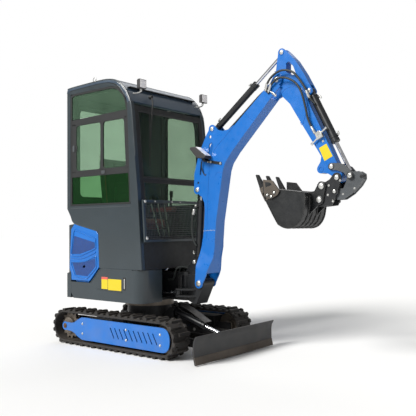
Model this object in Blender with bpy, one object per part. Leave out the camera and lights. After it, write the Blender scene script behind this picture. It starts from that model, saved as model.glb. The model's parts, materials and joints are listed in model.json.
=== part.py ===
"""A mini excavator with an enclosed cab, as separate solids that move about their real pivots.

Metres. +X is forward, +Y is the operator's left, +Z is up, and the tracks stand on Z = 0. Every
size below is measured from the slew axis, which the empty "machine" carries to its place.
"""

import math

import bmesh
import bpy
from mathutils import Vector

GAP = 0.0003          # between solids that touch
PIVOT_GAP = 0.0004    # between a pin's corners and the flats of its bore
SIDES = 16            # of a pin, a bore or a tube
SLEW_X = -0.6495      # the slew axis, behind the middle of the whole machine

# Undercarriage
TRACK_WIDTH = 0.187
TRACK_OUTER_Y = 0.494
TRACK_RADIUS = 0.150            # of the shoes, round the sprocket and the idler
TRACK_THICKNESS = 0.034
SPROCKET_X = -0.555
IDLER_X = 0.588
SPROCKET_TEETH = 13
ROLLER_RADIUS = 0.035
ROLLER_XS = (-0.25, 0.06, 0.37)
COVER_INSET = 0.0194            # from the track's outer edge to the side cover
COVER_THICKNESS = 0.008
COVER_REAR_X = -0.336
COVER_FRONT_CLEARANCE = 0.035     # from the track's inner face to the side cover
COVER_LOW_CLEARANCE = 0.0195
COVER_HIGH_CLEARANCE = 0.028
BEAM_CLEARANCE = 0.038            # from the track's inner face down to the beam
COVER_EYE_RADIUS = 0.036
SLOT_COUNT = 10
SLOT_FIRST_X = 0.041
SLOT_PITCH = 0.0529
SLOT_HEIGHT = 0.082
SLOT_LEAN = 0.046
SLOT_WIDTH = 0.010
HUB_TOP_Z = 0.335
SLEW_RING_RADIUS = 0.21

# Dozer blade
BLADE_WIDTH = 1.0
BLADE_HEIGHT = 0.2126
BLADE_BOTTOM_Z = 0.006
BLADE_FRONT_X = 0.953
BLADE_HOLLOW = 0.026
BLADE_PLATE = 0.012
BLADE_PIVOT = (0.33, 0.115)
BLADE_ARM_Y = 0.245
BLADE_ARM_WIDTH = 0.040
BLADE_CYLINDER_BASE = (0.28, 0.300)
BLADE_CYLINDER_PIN = (0.84, 0.130)

# House
HALF_WIDTH = 0.4544
TAIL_RADIUS = 0.715
DECK_BOTTOM_Z = 0.395
DECK_PLATE = 0.020
SKIRT_TOP_Z = 0.655
SKIRT_STEP_Z = 0.532
SKIRT_PANEL = 0.030
SKIRT_CORNER = 0.090
COUNTERWEIGHT_TOP_Z = 0.600
HOOD_TOP_Z = 1.030
HOOD_PANEL = 0.025
HOOD_HINGE = (-0.475, 1.016)
SWING_X = 0.44
SWING_PIN_RADIUS = 0.019
SWING_LUG_RADIUS = 0.055
SWING_LUG_PLATE = 0.025
ENGINE_SIZE = (0.35, 0.38, 0.36)
ENGINE_CORNER = (-0.50, -0.14, 0.45)

# Cab
WALL = 0.040
CAB_REAR_X = -0.553
CAB_BOTTOM_Z = 0.658
CAB_LEDGE_Z = 1.159             # the rear wall slopes in below this
ROOF_TOP_Z = 2.224
ROOF_EDGE_Z = ROOF_TOP_Z - 0.055
ROOF_PANEL = 0.030
FRONT_PANEL = 0.030
GLASS = 0.006
SCREEN_INSET = 0.0694             # from the house's side to the windscreen
GUARD_INSET = 0.0294
SEAT_BOX_CLEARANCE = 0.0194       # from the cab's wall to the seat's base
WORK_LIGHT_INSET = 0.0679
REAR_WINDOW_INSET = 0.1144
SKIRT_LIP = 0.0494                # how far in the skirt's rear end turns
FLOOR_PLATE = 0.025
FRONT_LINE = ((0.362, 0.658), (0.345, 0.886), (0.320, 1.247), (0.292, 1.527), (0.255, 1.900))
ROOF_LINE = ((0.236, 2.005), (0.196, 2.086), (0.140, 2.152), (0.075, 2.195), (-0.020, 2.218),
             (-0.150, 2.224), (-0.500, 2.216), (-0.545, 2.206))
DOOR_REAR_X = -0.250
DOOR_NOTCH_X = -0.105            # of its lower part, in front of the vent cover
DOOR_SILL_Z = 0.720
DOOR_TOP_Z = 2.090
DOOR_HINGE_X = -0.262
DOOR_HINGE_STANDOFF = 0.0136      # from the cab's side
DOOR_CLEARANCE = 0.005

# Working equipment, in the machine's middle plane
FOOT = (0.630, 0.543)
FOOT_EYE = 0.038
FOOT_PIN = 0.019
BOOM_HALF = 0.0565
BOOM_PLATE = 0.012
FOOT_HALF = 0.090
ARM_PIVOT = (1.358, 2.066)
ARM_HALF = 0.035
ARM_TIP = (1.829, 1.322)
BOOM_CYLINDER_BASE = (0.561, 0.710)
BOOM_CYLINDER_PIN = (0.597, 1.291)
ARM_CYLINDER_BASE = (0.752, 1.767)
ARM_CYLINDER_PIN = (1.392, 2.265)
BUCKET_CYLINDER_BASE = (1.615, 1.950)
GUIDE_PIVOT = (1.790, 1.400)
LINK_JOINT = (1.926, 1.330)
COUPLER_LINK_PIN = (1.811, 1.228)
BUCKET_PIN_FRONT = (1.718, 1.267)
BUCKET_PIN_REAR = (1.700, 1.174)
BUCKET_HALF = 0.155
BUCKET_PLATE = 0.012
SWING_CYLINDER_BASE = (-0.12, -0.20)
SWING_CYLINDER_PIN = (0.45, -0.130)
SWING_CYLINDER_Z = 0.465

WINDSCREEN_HALF = HALF_WIDTH - SCREEN_INSET
WHEEL_Z = TRACK_RADIUS
TRACK_INNER = TRACK_RADIUS - TRACK_THICKNESS
COVER_FRONT_X = IDLER_X + TRACK_INNER - COVER_FRONT_CLEARANCE
COVER_LOW_Z = TRACK_THICKNESS + COVER_LOW_CLEARANCE
COVER_HIGH_Z = WHEEL_Z + TRACK_INNER - COVER_HIGH_CLEARANCE
BEAM_TOP_Z = WHEEL_Z + TRACK_INNER - BEAM_CLEARANCE
DOOR_HINGE = (DOOR_HINGE_X, HALF_WIDTH + DOOR_HINGE_STANDOFF)
TRACK_Y = TRACK_OUTER_Y - TRACK_WIDTH / 2
COVER_Y = TRACK_OUTER_Y - COVER_INSET

COLOURS = {
    "paint_blue": ((0.020, 0.160, 0.620), 0.35, 0.0),
    "paint_grey": ((0.060, 0.075, 0.085), 0.45, 0.0),
    "paint_black": ((0.018, 0.020, 0.022), 0.50, 0.0),
    "rubber": ((0.025, 0.023, 0.022), 0.85, 0.0),
    "glass": ((0.050, 0.110, 0.080), 0.05, 0.0),
    "chrome": ((0.800, 0.800, 0.820), 0.15, 1.0),
    "steel": ((0.350, 0.340, 0.330), 0.40, 0.9),
    "vinyl": ((0.030, 0.030, 0.032), 0.70, 0.0),
    "lamp": ((0.600, 0.600, 0.580), 0.20, 0.0),
}


# ---------------------------------------------------------------- shapes

def closed(mesh):
    """The mesh with its faces pointing out."""
    bmesh.ops.recalc_face_normals(mesh, faces=mesh.faces)
    return mesh


def extruded(points, offset):
    """A flat outline given as 3-D points, extruded by the offset."""
    mesh = bmesh.new()
    face = mesh.faces.new([mesh.verts.new(point) for point in points])
    grown = bmesh.ops.extrude_face_region(mesh, geom=[face])
    moved = [item for item in grown["geom"] if isinstance(item, bmesh.types.BMVert)]
    bmesh.ops.translate(mesh, verts=moved, vec=offset)
    return closed(mesh)


def side_plate(outline, y0, y1):
    """An (x, z) outline between two planes of Y."""
    return extruded([(x, y0, z) for x, z in outline], (0, y1 - y0, 0))


def flat_plate(outline, z0, z1):
    """An (x, y) outline between two heights."""
    return extruded([(x, y, z0) for x, y in outline], (0, 0, z1 - z0))


def block(x0, x1, y0, y1, z0, z1):
    return flat_plate([(x0, y0), (x1, y0), (x1, y1), (x0, y1)], z0, z1)


def tube(start, end, radius, sides=SIDES):
    """A solid round bar from start to end."""
    mesh = bmesh.new()
    start, end = Vector(start), Vector(end)
    along = end - start
    turn = along.to_track_quat("Z", "Y").to_matrix().to_4x4()
    turn.translation = (start + end) / 2
    bmesh.ops.create_cone(mesh, cap_ends=True, segments=sides, radius1=radius, radius2=radius,
                          depth=along.length, matrix=turn)
    return closed(mesh)


def cross_tube(centre, radius, y0, y1, sides=SIDES):
    """A round bar across the machine, at an (x, z) centre."""
    return tube((centre[0], y0, centre[1]), (centre[0], y1, centre[1]), radius, sides)


def bore_radius(pin):
    """The corner radius of a bore whose flats clear a pin."""
    return (pin + PIVOT_GAP) / math.cos(math.pi / SIDES)


def arc(centre, radius, first, last, steps):
    """Points on a circle, from one angle to another, in degrees."""
    turns = [math.radians(first + (last - first) * i / steps) for i in range(steps + 1)]
    return [(centre[0] + radius * math.cos(t), centre[1] + radius * math.sin(t)) for t in turns]


def towards(start, end, distance):
    """The point at a distance from start on the line to end."""
    span = math.dist(start, end)
    return tuple(a + (b - a) * distance / span for a, b in zip(start, end))


def strut(start, end, width):
    """The corners of a straight bar of this width between two points."""
    dx, dz = (end[0] - start[0]), (end[1] - start[1])
    span = math.hypot(dx, dz)
    nx, nz = -dz / span * width / 2, dx / span * width / 2
    return [(start[0] + nx, start[1] + nz), (end[0] + nx, end[1] + nz),
            (end[0] - nx, end[1] - nz), (start[0] - nx, start[1] - nz)]


# ---------------------------------------------------------------- objects

def material(name):
    found = bpy.data.materials.get(name)
    if found:
        return found
    made = bpy.data.materials.new(name)
    made.use_nodes = True
    shader = made.node_tree.nodes["Principled BSDF"]
    colour, roughness, metallic = COLOURS[name]
    shader.inputs["Base Color"].default_value = (*colour, 1)
    shader.inputs["Roughness"].default_value = roughness
    shader.inputs["Metallic"].default_value = metallic
    return made


def scene_object(name, mesh, pivot, parent):
    """An object whose origin is the pivot, from a mesh drawn in the machine's frame."""
    bmesh.ops.translate(mesh, verts=mesh.verts, vec=-Vector(pivot))
    data = bpy.data.meshes.new(name)
    mesh.to_mesh(data)
    mesh.free()
    made = bpy.data.objects.new(name, data)
    bpy.context.scene.collection.objects.link(made)
    made.parent = parent
    made.location = pivot
    return made


def solid(name, colour, shape, adds=(), cuts=(), pivot=(0, 0, 0), smooth=True):
    """A named piece: its first shape, joined with the adds, less the cuts."""
    machine = bpy.data.objects["machine"]
    made = scene_object(name, shape, pivot, machine)
    made.data.materials.append(material(colour))
    for operation, shapes in (("UNION", adds), ("DIFFERENCE", cuts)):
        for number, tool_shape in enumerate(shapes):
            tool = scene_object(f"{name}_{operation.lower()}_{number}", tool_shape, pivot, machine)
            tool.hide_render = True
            tool.display_type = "WIRE"
            boolean = made.modifiers.new(f"{operation.title()} {number}", "BOOLEAN")
            boolean.operation = operation
            boolean.solver = "EXACT"
            boolean.object = tool
    if smooth:
        made.data.shade_smooth()
        made.data.set_sharp_from_angle(angle=math.radians(35))
    return made


def in_plane(point):
    """An (x, z) pivot as an origin in the machine's middle plane."""
    return (point[0], 0, point[1])


def both_sides(shape_of, inner, outer):
    """The same plate at +Y and at -Y."""
    return [shape_of(inner, outer), shape_of(-outer, -inner)]


# ---------------------------------------------------------------- undercarriage

def stadium(radius):
    """The outline of a track loop at this radius from the wheel centres."""
    return (arc((IDLER_X, WHEEL_Z), radius, -90, 90, 16)
            + arc((SPROCKET_X, WHEEL_Z), radius, 90, 270, 16))


def centre_frame():
    beam_y = TRACK_OUTER_Y - TRACK_WIDTH - 0.0003
    pin = BLADE_PIVOT
    blade_ears = []
    for side in (-1, 1):
        for offset in (-1, 1):
            inner = BLADE_ARM_WIDTH / 2 + 0.002
            near, far = sorted((side * BLADE_ARM_Y + offset * inner,
                                side * BLADE_ARM_Y + offset * (inner + 0.012)))
            ear = [(0.20, 0.085), (pin[0], 0.085)] + arc(pin, 0.030, -90, 90, 6) + [(0.20, 0.145)]
            blade_ears.append(side_plate(ear, near, far))
        blade_ears.append(cross_tube(pin, 0.012, side * BLADE_ARM_Y - 0.034,
                                     side * BLADE_ARM_Y + 0.034))
    base = BLADE_CYLINDER_BASE
    tower = [(0.17, 0.20), (0.30, 0.20)] + arc(base, 0.028, -20, 160, 8) + [(0.17, 0.235)]
    towers = both_sides(lambda a, b: side_plate(tower, a, b), 0.027, 0.039)
    cylinder_pin = cross_tube(base, 0.011, -0.039, 0.039)
    hub = tube((0, 0, 0.15), (0, 0, HUB_TOP_Z), SLEW_RING_RADIUS - 0.02, 32)
    rear_beam = block(-0.235, -0.155, -beam_y, beam_y, 0.135, 0.225)
    front_beam = block(0.150, 0.245, -beam_y, beam_y, 0.135, 0.225)
    spine = block(-0.20, 0.20, -0.13, 0.13, 0.130, 0.235)
    solid("centre_frame", "paint_black", spine,
          [rear_beam, front_beam, hub, *towers, cylinder_pin, *blade_ears])


def track_side(side, word):
    """One track: its frame, loop, sprocket, idler, rollers and painted side cover."""
    def span(inner, outer):
        return sorted((side * inner, side * outer))

    inner_y = TRACK_OUTER_Y - TRACK_WIDTH
    y0, y1 = span(inner_y, TRACK_OUTER_Y)
    solid(f"{word}_track", "rubber", side_plate(stadium(TRACK_RADIUS), y0, y1),
          cuts=[side_plate(stadium(TRACK_INNER), y0 - 0.01, y1 + 0.01)])

    cover_y = COVER_Y - COVER_THICKNESS - GAP
    beam = block(-0.33, 0.47, *span(inner_y, 0.440), 0.110, BEAM_TOP_Z)
    motor_plate = side_plate([(-0.30, BEAM_TOP_Z - 0.003), (-0.30, 0.100)]
                             + arc((SPROCKET_X, WHEEL_Z), 0.075, 270, 90, 10)
                             + [(-0.40, BEAM_TOP_Z - 0.003)], *span(inner_y, inner_y + 0.018))
    forks = [block(0.41, 0.62, *span(a, b), WHEEL_Z - 0.030, WHEEL_Z + 0.030)
             for a, b in ((0.335, 0.347), (0.4467, cover_y))]
    forks.append(block(0.41, 0.465, *span(0.430, 0.450), WHEEL_Z - 0.030, WHEEL_Z + 0.030))
    standoffs = [block(x - 0.015, x + 0.015, *span(0.43, cover_y), 0.115, BEAM_TOP_Z - 0.008)
                 for x in (-0.300, 0.203)]
    rails = [block(ROLLER_XS[0] - 0.05, ROLLER_XS[-1] + 0.05, *span(a, b), 0.056, 0.120)
             for a, b in ((0.350, 0.358), (0.4447, 0.4527))]
    slide = block(-0.02, 0.12, *span(0.375, 0.425), BEAM_TOP_Z - 0.008,
                  WHEEL_Z + TRACK_INNER - GAP)
    axles = [cross_tube((x, TRACK_THICKNESS + GAP + ROLLER_RADIUS), 0.010, *span(0.35, 0.45))
             for x in ROLLER_XS]
    rollers = [cross_tube((x, TRACK_THICKNESS + GAP + ROLLER_RADIUS), ROLLER_RADIUS,
                          *span(0.361, 0.4417)) for x in ROLLER_XS]
    solid(f"{word}_track_frame", "paint_black", beam,
          [motor_plate, *forks, *standoffs, *rails, slide, *axles, *rollers])

    tip = TRACK_INNER * math.cos(math.pi / 32) - GAP
    ring = []
    for tooth in range(SPROCKET_TEETH):
        step = 360 / SPROCKET_TEETH
        ring += arc((SPROCKET_X, WHEEL_Z), tip, tooth * step - 4, tooth * step + 4, 1)
        ring += arc((SPROCKET_X, WHEEL_Z), tip - 0.018, (tooth + 0.5) * step - 5,
                    (tooth + 0.5) * step + 5, 1)
    hub = cross_tube((SPROCKET_X, WHEEL_Z), 0.068, *span(inner_y + 0.018 + GAP, 0.437), 24)
    nose = cross_tube((SPROCKET_X, WHEEL_Z), 0.022, *span(0.43, COVER_Y - 0.001))
    solid(f"{word}_sprocket", "steel", side_plate(ring, *span(0.388, 0.414)), [hub, nose])

    wheel = cross_tube((IDLER_X, WHEEL_Z), tip, *span(0.378, 0.422), 32)
    boss = cross_tube((IDLER_X, WHEEL_Z), 0.045, *span(0.347 + GAP, 0.4467 - GAP))
    solid(f"{word}_idler", "steel", wheel, [boss])

    eye = (SPROCKET_X, WHEEL_Z)
    mid = (COVER_LOW_Z + COVER_HIGH_Z) / 2
    end = COVER_FRONT_X
    outline = (arc(eye, COVER_EYE_RADIUS, 70, 290, 12)
               + [(-0.470, WHEEL_Z - 0.038), (-0.428, WHEEL_Z - 0.052), (COVER_REAR_X, COVER_LOW_Z),
                  (end - 0.069, COVER_LOW_Z), (end - 0.029, COVER_LOW_Z + 0.016),
                  (end - 0.007, mid - 0.046), (end, mid), (end - 0.007, mid + 0.046),
                  (end - 0.029, COVER_HIGH_Z - 0.016), (end - 0.069, COVER_HIGH_Z),
                  (COVER_REAR_X, COVER_HIGH_Z), (-0.428, WHEEL_Z + 0.040),
                  (-0.470, WHEEL_Z + 0.031)])
    y0, y1 = span(COVER_Y - COVER_THICKNESS, COVER_Y)
    cuts = [cross_tube(eye, 0.0235, y0 - 0.01, y1 + 0.01)]
    for number in range(SLOT_COUNT):
        x = SLOT_FIRST_X + number * SLOT_PITCH
        top = (x - SLOT_LEAN / 2, mid + SLOT_HEIGHT / 2)
        bottom = (x + SLOT_LEAN / 2, mid - SLOT_HEIGHT / 2)
        cuts.append(side_plate(strut(top, bottom, SLOT_WIDTH), y0 - 0.01, y1 + 0.01))
    solid(f"{word}_side_cover", "paint_blue", side_plate(outline, y0, y1), cuts=cuts)


def dozer_blade():
    pivot = in_plane(BLADE_PIVOT)
    low = BLADE_BOTTOM_Z
    face = [(BLADE_FRONT_X, BLADE_HEIGHT), (BLADE_FRONT_X - 0.020, BLADE_HEIGHT - 0.034),
            (BLADE_FRONT_X - BLADE_HOLLOW, BLADE_HEIGHT - 0.070),
            (BLADE_FRONT_X - BLADE_HOLLOW, low + 0.055), (BLADE_FRONT_X - 0.010, low)]
    back = [(x - BLADE_PLATE, z) for x, z in reversed(face)]
    half = BLADE_WIDTH / 2
    rear_x = BLADE_FRONT_X - BLADE_HOLLOW - BLADE_PLATE
    stiffener = block(rear_x - 0.045, rear_x + 0.004, -0.30, 0.30, 0.060, 0.145)
    pin = BLADE_CYLINDER_PIN
    lug = arc(pin, 0.026, 60, 250, 8) + [(rear_x - 0.02, 0.09), (rear_x - 0.02, 0.160)]
    lugs = both_sides(lambda a, b: side_plate(lug, a, b), 0.0195, 0.0315)
    solid("dozer_blade", "paint_black", side_plate(face + back, -half, half),
          [stiffener, *lugs], pivot=pivot, smooth=False)
    arm_end = rear_x - 0.045 - GAP
    for side, word in ((-1, "right"), (1, "left")):
        inner, outer = sorted((side * (BLADE_ARM_Y - BLADE_ARM_WIDTH / 2),
                               side * (BLADE_ARM_Y + BLADE_ARM_WIDTH / 2)))
        outline = (arc(BLADE_PIVOT, 0.028, 90, 270, 8)
                   + [(arm_end, 0.070), (arm_end, 0.135)])
        bore = cross_tube(BLADE_PIVOT, bore_radius(0.012), inner - 0.01, outer + 0.01)
        solid(f"{word}_blade_arm", "paint_black", side_plate(outline, inner, outer),
              cuts=[bore], pivot=pivot)


def cylinder(name, base, pin, barrel_length, barrel, rod, pin_radius, half_width, rod_start,
             plane="xz", level=0.0, colour="paint_black"):
    """A hydraulic cylinder: a barrel that turns on its base pin, and the rod that slides in it.

    The barrel's neck clears the lugs. The rod's eye has no bore, because the linkage is open
    there.
    """
    def at(distance):
        point = towards(base, pin, distance)
        return (point[0], level, point[1]) if plane == "xz" else (point[0], point[1], level)

    def eye(centre, radius, half):
        if plane == "xz":
            return cross_tube(centre, radius, -half, half)
        return tube((*centre, level - half), (*centre, level + half), radius)

    full = math.dist(base, pin)
    barrel_eye = barrel * 0.85
    origin = at(0)
    start = 0.036
    neck = strut(towards(base, pin, 0.0), towards(base, pin, start + 0.010), barrel_eye * 1.6)
    if plane == "xz":
        neck = side_plate(neck, -half_width + 0.001, half_width - 0.001)
    else:
        neck = flat_plate(neck, level - half_width + 0.001, level + half_width - 0.001)
    solid(f"{name}_barrel", colour, tube(at(start), at(barrel_length), barrel),
          [eye(base, barrel_eye, half_width), neck],
          [tube(at(0.050), at(barrel_length + 0.01), bore_radius(rod)),
           eye(base, bore_radius(pin_radius), half_width + 0.01)], pivot=origin)
    solid(f"{name}_rod", "chrome", tube(at(rod_start), at(full - 0.004), rod),
          [eye(pin, rod * 1.5, half_width - 0.0045)], pivot=at(full))


# ---------------------------------------------------------------- house

def tail_arc(radius, half_width, steps=20):
    """Plan points of the round tail, from the right side round to the left."""
    angle = math.degrees(math.asin(half_width / radius))
    return arc((0, 0), radius, 180 + angle, 180 - angle, steps)


def deck():
    plan = tail_arc(TAIL_RADIUS - 0.06, 0.40) + [(0.28, 0.40), (0.28, -0.40)]
    top = DECK_BOTTOM_Z + DECK_PLATE
    nose = ([(0.20, -SWING_LUG_RADIUS)] + arc((SWING_X, 0), SWING_LUG_RADIUS, -90, 90, 12)
            + [(0.20, SWING_LUG_RADIUS)])
    low_lug = flat_plate(nose, DECK_BOTTOM_Z, top)
    lug_top = SKIRT_TOP_Z - 0.030
    high_lug = flat_plate(nose, lug_top - SWING_LUG_PLATE, lug_top)
    beam = block(0.10, SWING_X - 0.07, -0.040, 0.040, top - 0.005, lug_top)
    pin = tube((SWING_X, 0, DECK_BOTTOM_Z), (SWING_X, 0, lug_top), SWING_PIN_RADIUS)
    foot = SWING_CYLINDER_BASE
    pad = tube((*foot, top - 0.005), (*foot, SWING_CYLINDER_Z - 0.0215), 0.030)
    stub = tube((*foot, top - 0.005), (*foot, SWING_CYLINDER_Z + 0.030), 0.010)
    mounts = [block(x - 0.03, x + 0.03, y - 0.03, y + 0.03, top - 0.005, ENGINE_CORNER[2] - GAP)
              for x in (-0.45, -0.20) for y in (-0.08, 0.18)]
    risers = [block(x - 0.02, x + 0.02, y - 0.015, y + 0.015, top - 0.005, SKIRT_TOP_Z - 0.0003)
              for x, y in ((0.10, -0.36), (0.10, 0.36), (-0.42, -0.36), (-0.42, 0.36))]
    solid("deck", "paint_black", flat_plate(plan, DECK_BOTTOM_Z, top),
          [low_lug, high_lug, beam, pin, pad, stub, *mounts, *risers])
    solid("slew_bearing", "steel", tube((0, 0, HUB_TOP_Z + 0.0007), (0, 0, DECK_BOTTOM_Z - GAP),
                                        SLEW_RING_RADIUS, 32))


def engine():
    x, y, z = ENGINE_CORNER
    solid("engine", "steel", block(x, x + ENGINE_SIZE[0], y, y + ENGINE_SIZE[1], z,
                                   z + ENGINE_SIZE[2]), smooth=False)


def counterweight():
    plan = tail_arc(TAIL_RADIUS, HALF_WIDTH, 24)
    front = -0.500 - GAP
    lip = HALF_WIDTH - SKIRT_LIP
    outline = plan + [(front, HALF_WIDTH), (front, lip), (-0.49, lip)]
    outline += [(x, -y) for x, y in reversed(outline[-2:])] + [(front, -HALF_WIDTH)]
    inside = tail_arc(TAIL_RADIUS - 0.06 + 0.0003, 0.40) + [(-0.40, 0.40), (-0.40, -0.40)]
    undercut = flat_plate(inside, 0.30, DECK_BOTTOM_Z + DECK_PLATE + GAP)
    engine_room = block(-0.56, -0.40, -0.36, 0.36, 0.30, COUNTERWEIGHT_TOP_Z + 0.05)
    solid("counterweight", "paint_grey",
          flat_plate(outline, DECK_BOTTOM_Z, COUNTERWEIGHT_TOP_Z), cuts=[undercut, engine_room])


def hood():
    """The engine hood: a round shell whose top slopes down to the rear."""
    outer = tail_arc(TAIL_RADIUS - 0.012, 0.428) + [(-0.478, 0.428), (-0.478, -0.428)]
    inner = (tail_arc(TAIL_RADIUS - 0.012 - HOOD_PANEL, 0.428 - HOOD_PANEL)
             + [(-0.30, 0.428 - HOOD_PANEL), (-0.30, HOOD_PANEL - 0.428)])
    low = COUNTERWEIGHT_TOP_Z + GAP
    slope = [(-0.80, HOOD_TOP_Z + 0.10), (-0.80, HOOD_TOP_Z - 0.110), (-0.655, HOOD_TOP_Z - 0.050),
             (-0.560, HOOD_TOP_Z - 0.012), (-0.470, HOOD_TOP_Z), (-0.30, HOOD_TOP_Z + 0.10)]
    room = [(-0.80, HOOD_TOP_Z - 0.140), (-0.655, HOOD_TOP_Z - 0.080),
            (-0.560, HOOD_TOP_Z - 0.040), (-0.20, HOOD_TOP_Z - 0.028), (-0.20, 0.50), (-0.80, 0.50)]
    pivot = in_plane(HOOD_HINGE)
    solid("engine_hood", "paint_grey", flat_plate(outer, low, HOOD_TOP_Z + 0.05),
          cuts=[side_plate(slope, -0.5, 0.5), hood_room(inner, room)], pivot=pivot)


def hood_room(plan, section):
    """The space inside the hood: its plan, kept below the section's top."""
    low, high = 0.50, max(z for _, z in section)
    mesh = flat_plate(plan, low, high)
    cut_at = [(section[0], section[1]), (section[1], section[2]), (section[2], section[3])]
    for (x0, z0), (x1, z1) in cut_at:
        normal = Vector((-(z1 - z0), 0, x1 - x0))
        result = bmesh.ops.bisect_plane(mesh, geom=mesh.verts[:] + mesh.edges[:] + mesh.faces[:],
                                        plane_co=(x0, 0, z0), plane_no=normal, clear_outer=True)
        edges = [item for item in result["geom_cut"] if isinstance(item, bmesh.types.BMEdge)]
        bmesh.ops.contextual_create(mesh, geom=edges)
    return closed(mesh)


def skirt_plan(side):
    """The plan of a side skirt: along the side, round the front corner, and across the front."""
    front = 0.352
    end = 0.215 if side < 0 else 0.100
    corner = (front - SKIRT_CORNER, HALF_WIDTH - SKIRT_CORNER)
    outer = [(-0.500, HALF_WIDTH)] + arc(corner, SKIRT_CORNER, 90, 0, 8) + [(front, end)]
    inner = ([(front - SKIRT_PANEL, end)] + arc(corner, SKIRT_CORNER - SKIRT_PANEL, 0, 90, 8)
             + [(-0.500, HALF_WIDTH - SKIRT_PANEL)])
    return [(x, side * y) for x, y in outer + inner]


def skirt(side, word):
    step = [(-0.60, SKIRT_STEP_Z), (-0.253, SKIRT_STEP_Z), (-0.118, SKIRT_TOP_Z),
            (-0.118, 0.80), (-0.60, 0.80)]
    inner, outer = sorted((side * 0.38, side * 0.50))
    chamfer = [(-0.55, 0.30), (-0.44, 0.30), (-0.47, DECK_BOTTOM_Z), (-0.52, 0.47), (-0.55, 0.47)]
    solid(f"{word}_skirt", "paint_grey",
          flat_plate(skirt_plan(side), DECK_BOTTOM_Z - 0.002, SKIRT_TOP_Z),
          cuts=[side_plate(step, inner, outer), side_plate(chamfer, inner, outer)])


VENT_OUTLINE = ((-0.458, 1.026), (-0.170, 0.963), (-0.149, 0.940), (-0.138, 0.668),
                (-0.258, 0.547), (-0.496, 0.545), (-0.499, 0.603), (-0.522, 0.645),
                (-0.500, 0.980))


def vent_cover(side, word):
    inner, outer = sorted((side * (HALF_WIDTH - 0.022), side * HALF_WIDTH))
    flange = block(-0.45, -0.28, *sorted((side * (HALF_WIDTH - 0.028), side * (HALF_WIDTH - 0.014))),
                   SKIRT_STEP_Z + GAP, 0.560)
    solid(f"{word}_vent_cover", "paint_blue", side_plate(VENT_OUTLINE, inner, outer), [flange])


# ---------------------------------------------------------------- cab

def inset_line(line, distance):
    """An open line moved to its left by a distance."""
    moved = []
    for i, (x, z) in enumerate(line):
        before, after = line[max(i - 1, 0)], line[min(i + 1, len(line) - 1)]
        dx, dz = after[0] - before[0], after[1] - before[1]
        span = math.hypot(dx, dz)
        moved.append((x - dz / span * distance, z + dx / span * distance))
    return moved


def wall_outline():
    """A cab side wall from the floor to under the roof, behind the vent cover's edge."""
    under_roof = inset_line(ROOF_LINE, ROOF_PANEL + GAP)
    first_x, first_z = under_roof[0]
    rear_x = CAB_REAR_X
    return ([(-0.135, CAB_BOTTOM_Z), *FRONT_LINE, (ROOF_LINE[0][0], ROOF_LINE[0][1] - 0.0006),
             (first_x, first_z - 0.0004)] + under_roof[1:-1]
            + [(rear_x + 0.0305, ROOF_EDGE_Z), (rear_x, ROOF_EDGE_Z), (rear_x, CAB_LEDGE_Z),
               (-0.463, 1.031), (-0.168, 0.967), (-0.146, 0.943)])


def side_window():
    """The side window's opening, with its round upper front corner."""
    return [(-0.506, 1.180), (0.238, 1.180), (0.203, 1.960), (0.186, 2.030), (0.145, 2.092),
            (0.085, 2.135), (0.020, 2.152), (-0.506, 2.152)]


def right_wall():
    y0, y1 = -HALF_WIDTH, -HALF_WIDTH + WALL
    solid("cab_right_wall", "paint_grey", side_plate(wall_outline(), y0, y1),
          cuts=[side_plate(side_window(), y0 - 0.01, y1 + 0.01)])
    pane = shrunk(side_window(), GAP)
    solid("right_window", "glass", side_plate(pane, y0 + 0.006, y0 + 0.006 + GLASS))


def shrunk(outline, distance):
    """A closed convex outline moved in by a distance along each corner's bisector."""
    centre = (sum(p[0] for p in outline) / len(outline), sum(p[1] for p in outline) / len(outline))
    moved = []
    for x, z in outline:
        dx = distance if x < centre[0] else -distance
        dz = distance if z < centre[1] else -distance
        moved.append((x + dx, z + dz))
    return moved


def door_outline(margin):
    """The door's edge, drawn in from its opening by the margin."""
    front = [(0.262, 0.0), (0.250, 1.250), (0.205, 1.900), (0.180, DOOR_TOP_Z - 0.100),
             (0.145, DOOR_TOP_Z - 0.045), (0.095, DOOR_TOP_Z - 0.010)]
    sill, top = DOOR_SILL_Z + margin, DOOR_TOP_Z - margin
    return ([(DOOR_NOTCH_X + margin, sill), (front[0][0] - margin, sill)]
            + [(x - margin, z) for x, z in front[1:]]
            + [(0.030, top), (DOOR_REAR_X + margin, top), (DOOR_REAR_X + margin, 1.060 + margin),
               (DOOR_NOTCH_X + margin, 0.990 + margin)])


def left_wall_and_door():
    y0, y1 = HALF_WIDTH - WALL, HALF_WIDTH
    hx, hy = DOOR_HINGE
    hinge_zs = (1.12, 1.88)
    wall_knuckles = []
    door_knuckles = []
    for z in hinge_zs:
        wall_knuckles.append(tube((hx, hy, z), (hx, hy, z + 0.030), 0.009))
        wall_knuckles.append(block(hx - 0.040, hx, y1 - 0.004, y1 + 0.0075, z, z + 0.030))
        door_knuckles.append(tube((hx, hy, z + 0.0303), (hx, hy, z + 0.060), 0.009))
        door_knuckles.append(block(hx, hx + 0.050, y1 + 0.001, y1 + 0.0090, z + 0.0303, z + 0.060))
        door_knuckles.append(block(hx + 0.024, hx + 0.050, y1 - 0.004, y1 + 0.003, z + 0.032,
                                   z + 0.058))
    solid("cab_left_wall", "paint_grey", side_plate(wall_outline(), y0, y1), wall_knuckles,
          [side_plate(door_outline(0), y0 - 0.02, y1 + 0.002)])
    pane = [(-0.205, 1.180), (0.205, 1.180), (0.165, 1.900), (0.140, 1.970), (0.105, 2.010),
            (0.050, 2.035), (-0.205, 2.035)]
    solid("cab_door", "paint_grey", side_plate(door_outline(DOOR_CLEARANCE), y1 - 0.035, y1),
          door_knuckles, [side_plate(pane, y0 - 0.02, y1 + 0.02)], pivot=(hx, hy, 0))
    solid("door_glass", "glass", side_plate(shrunk(pane, GAP), y1 - 0.014, y1 - 0.014 + GLASS),
          pivot=(hx, hy, 0))


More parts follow.
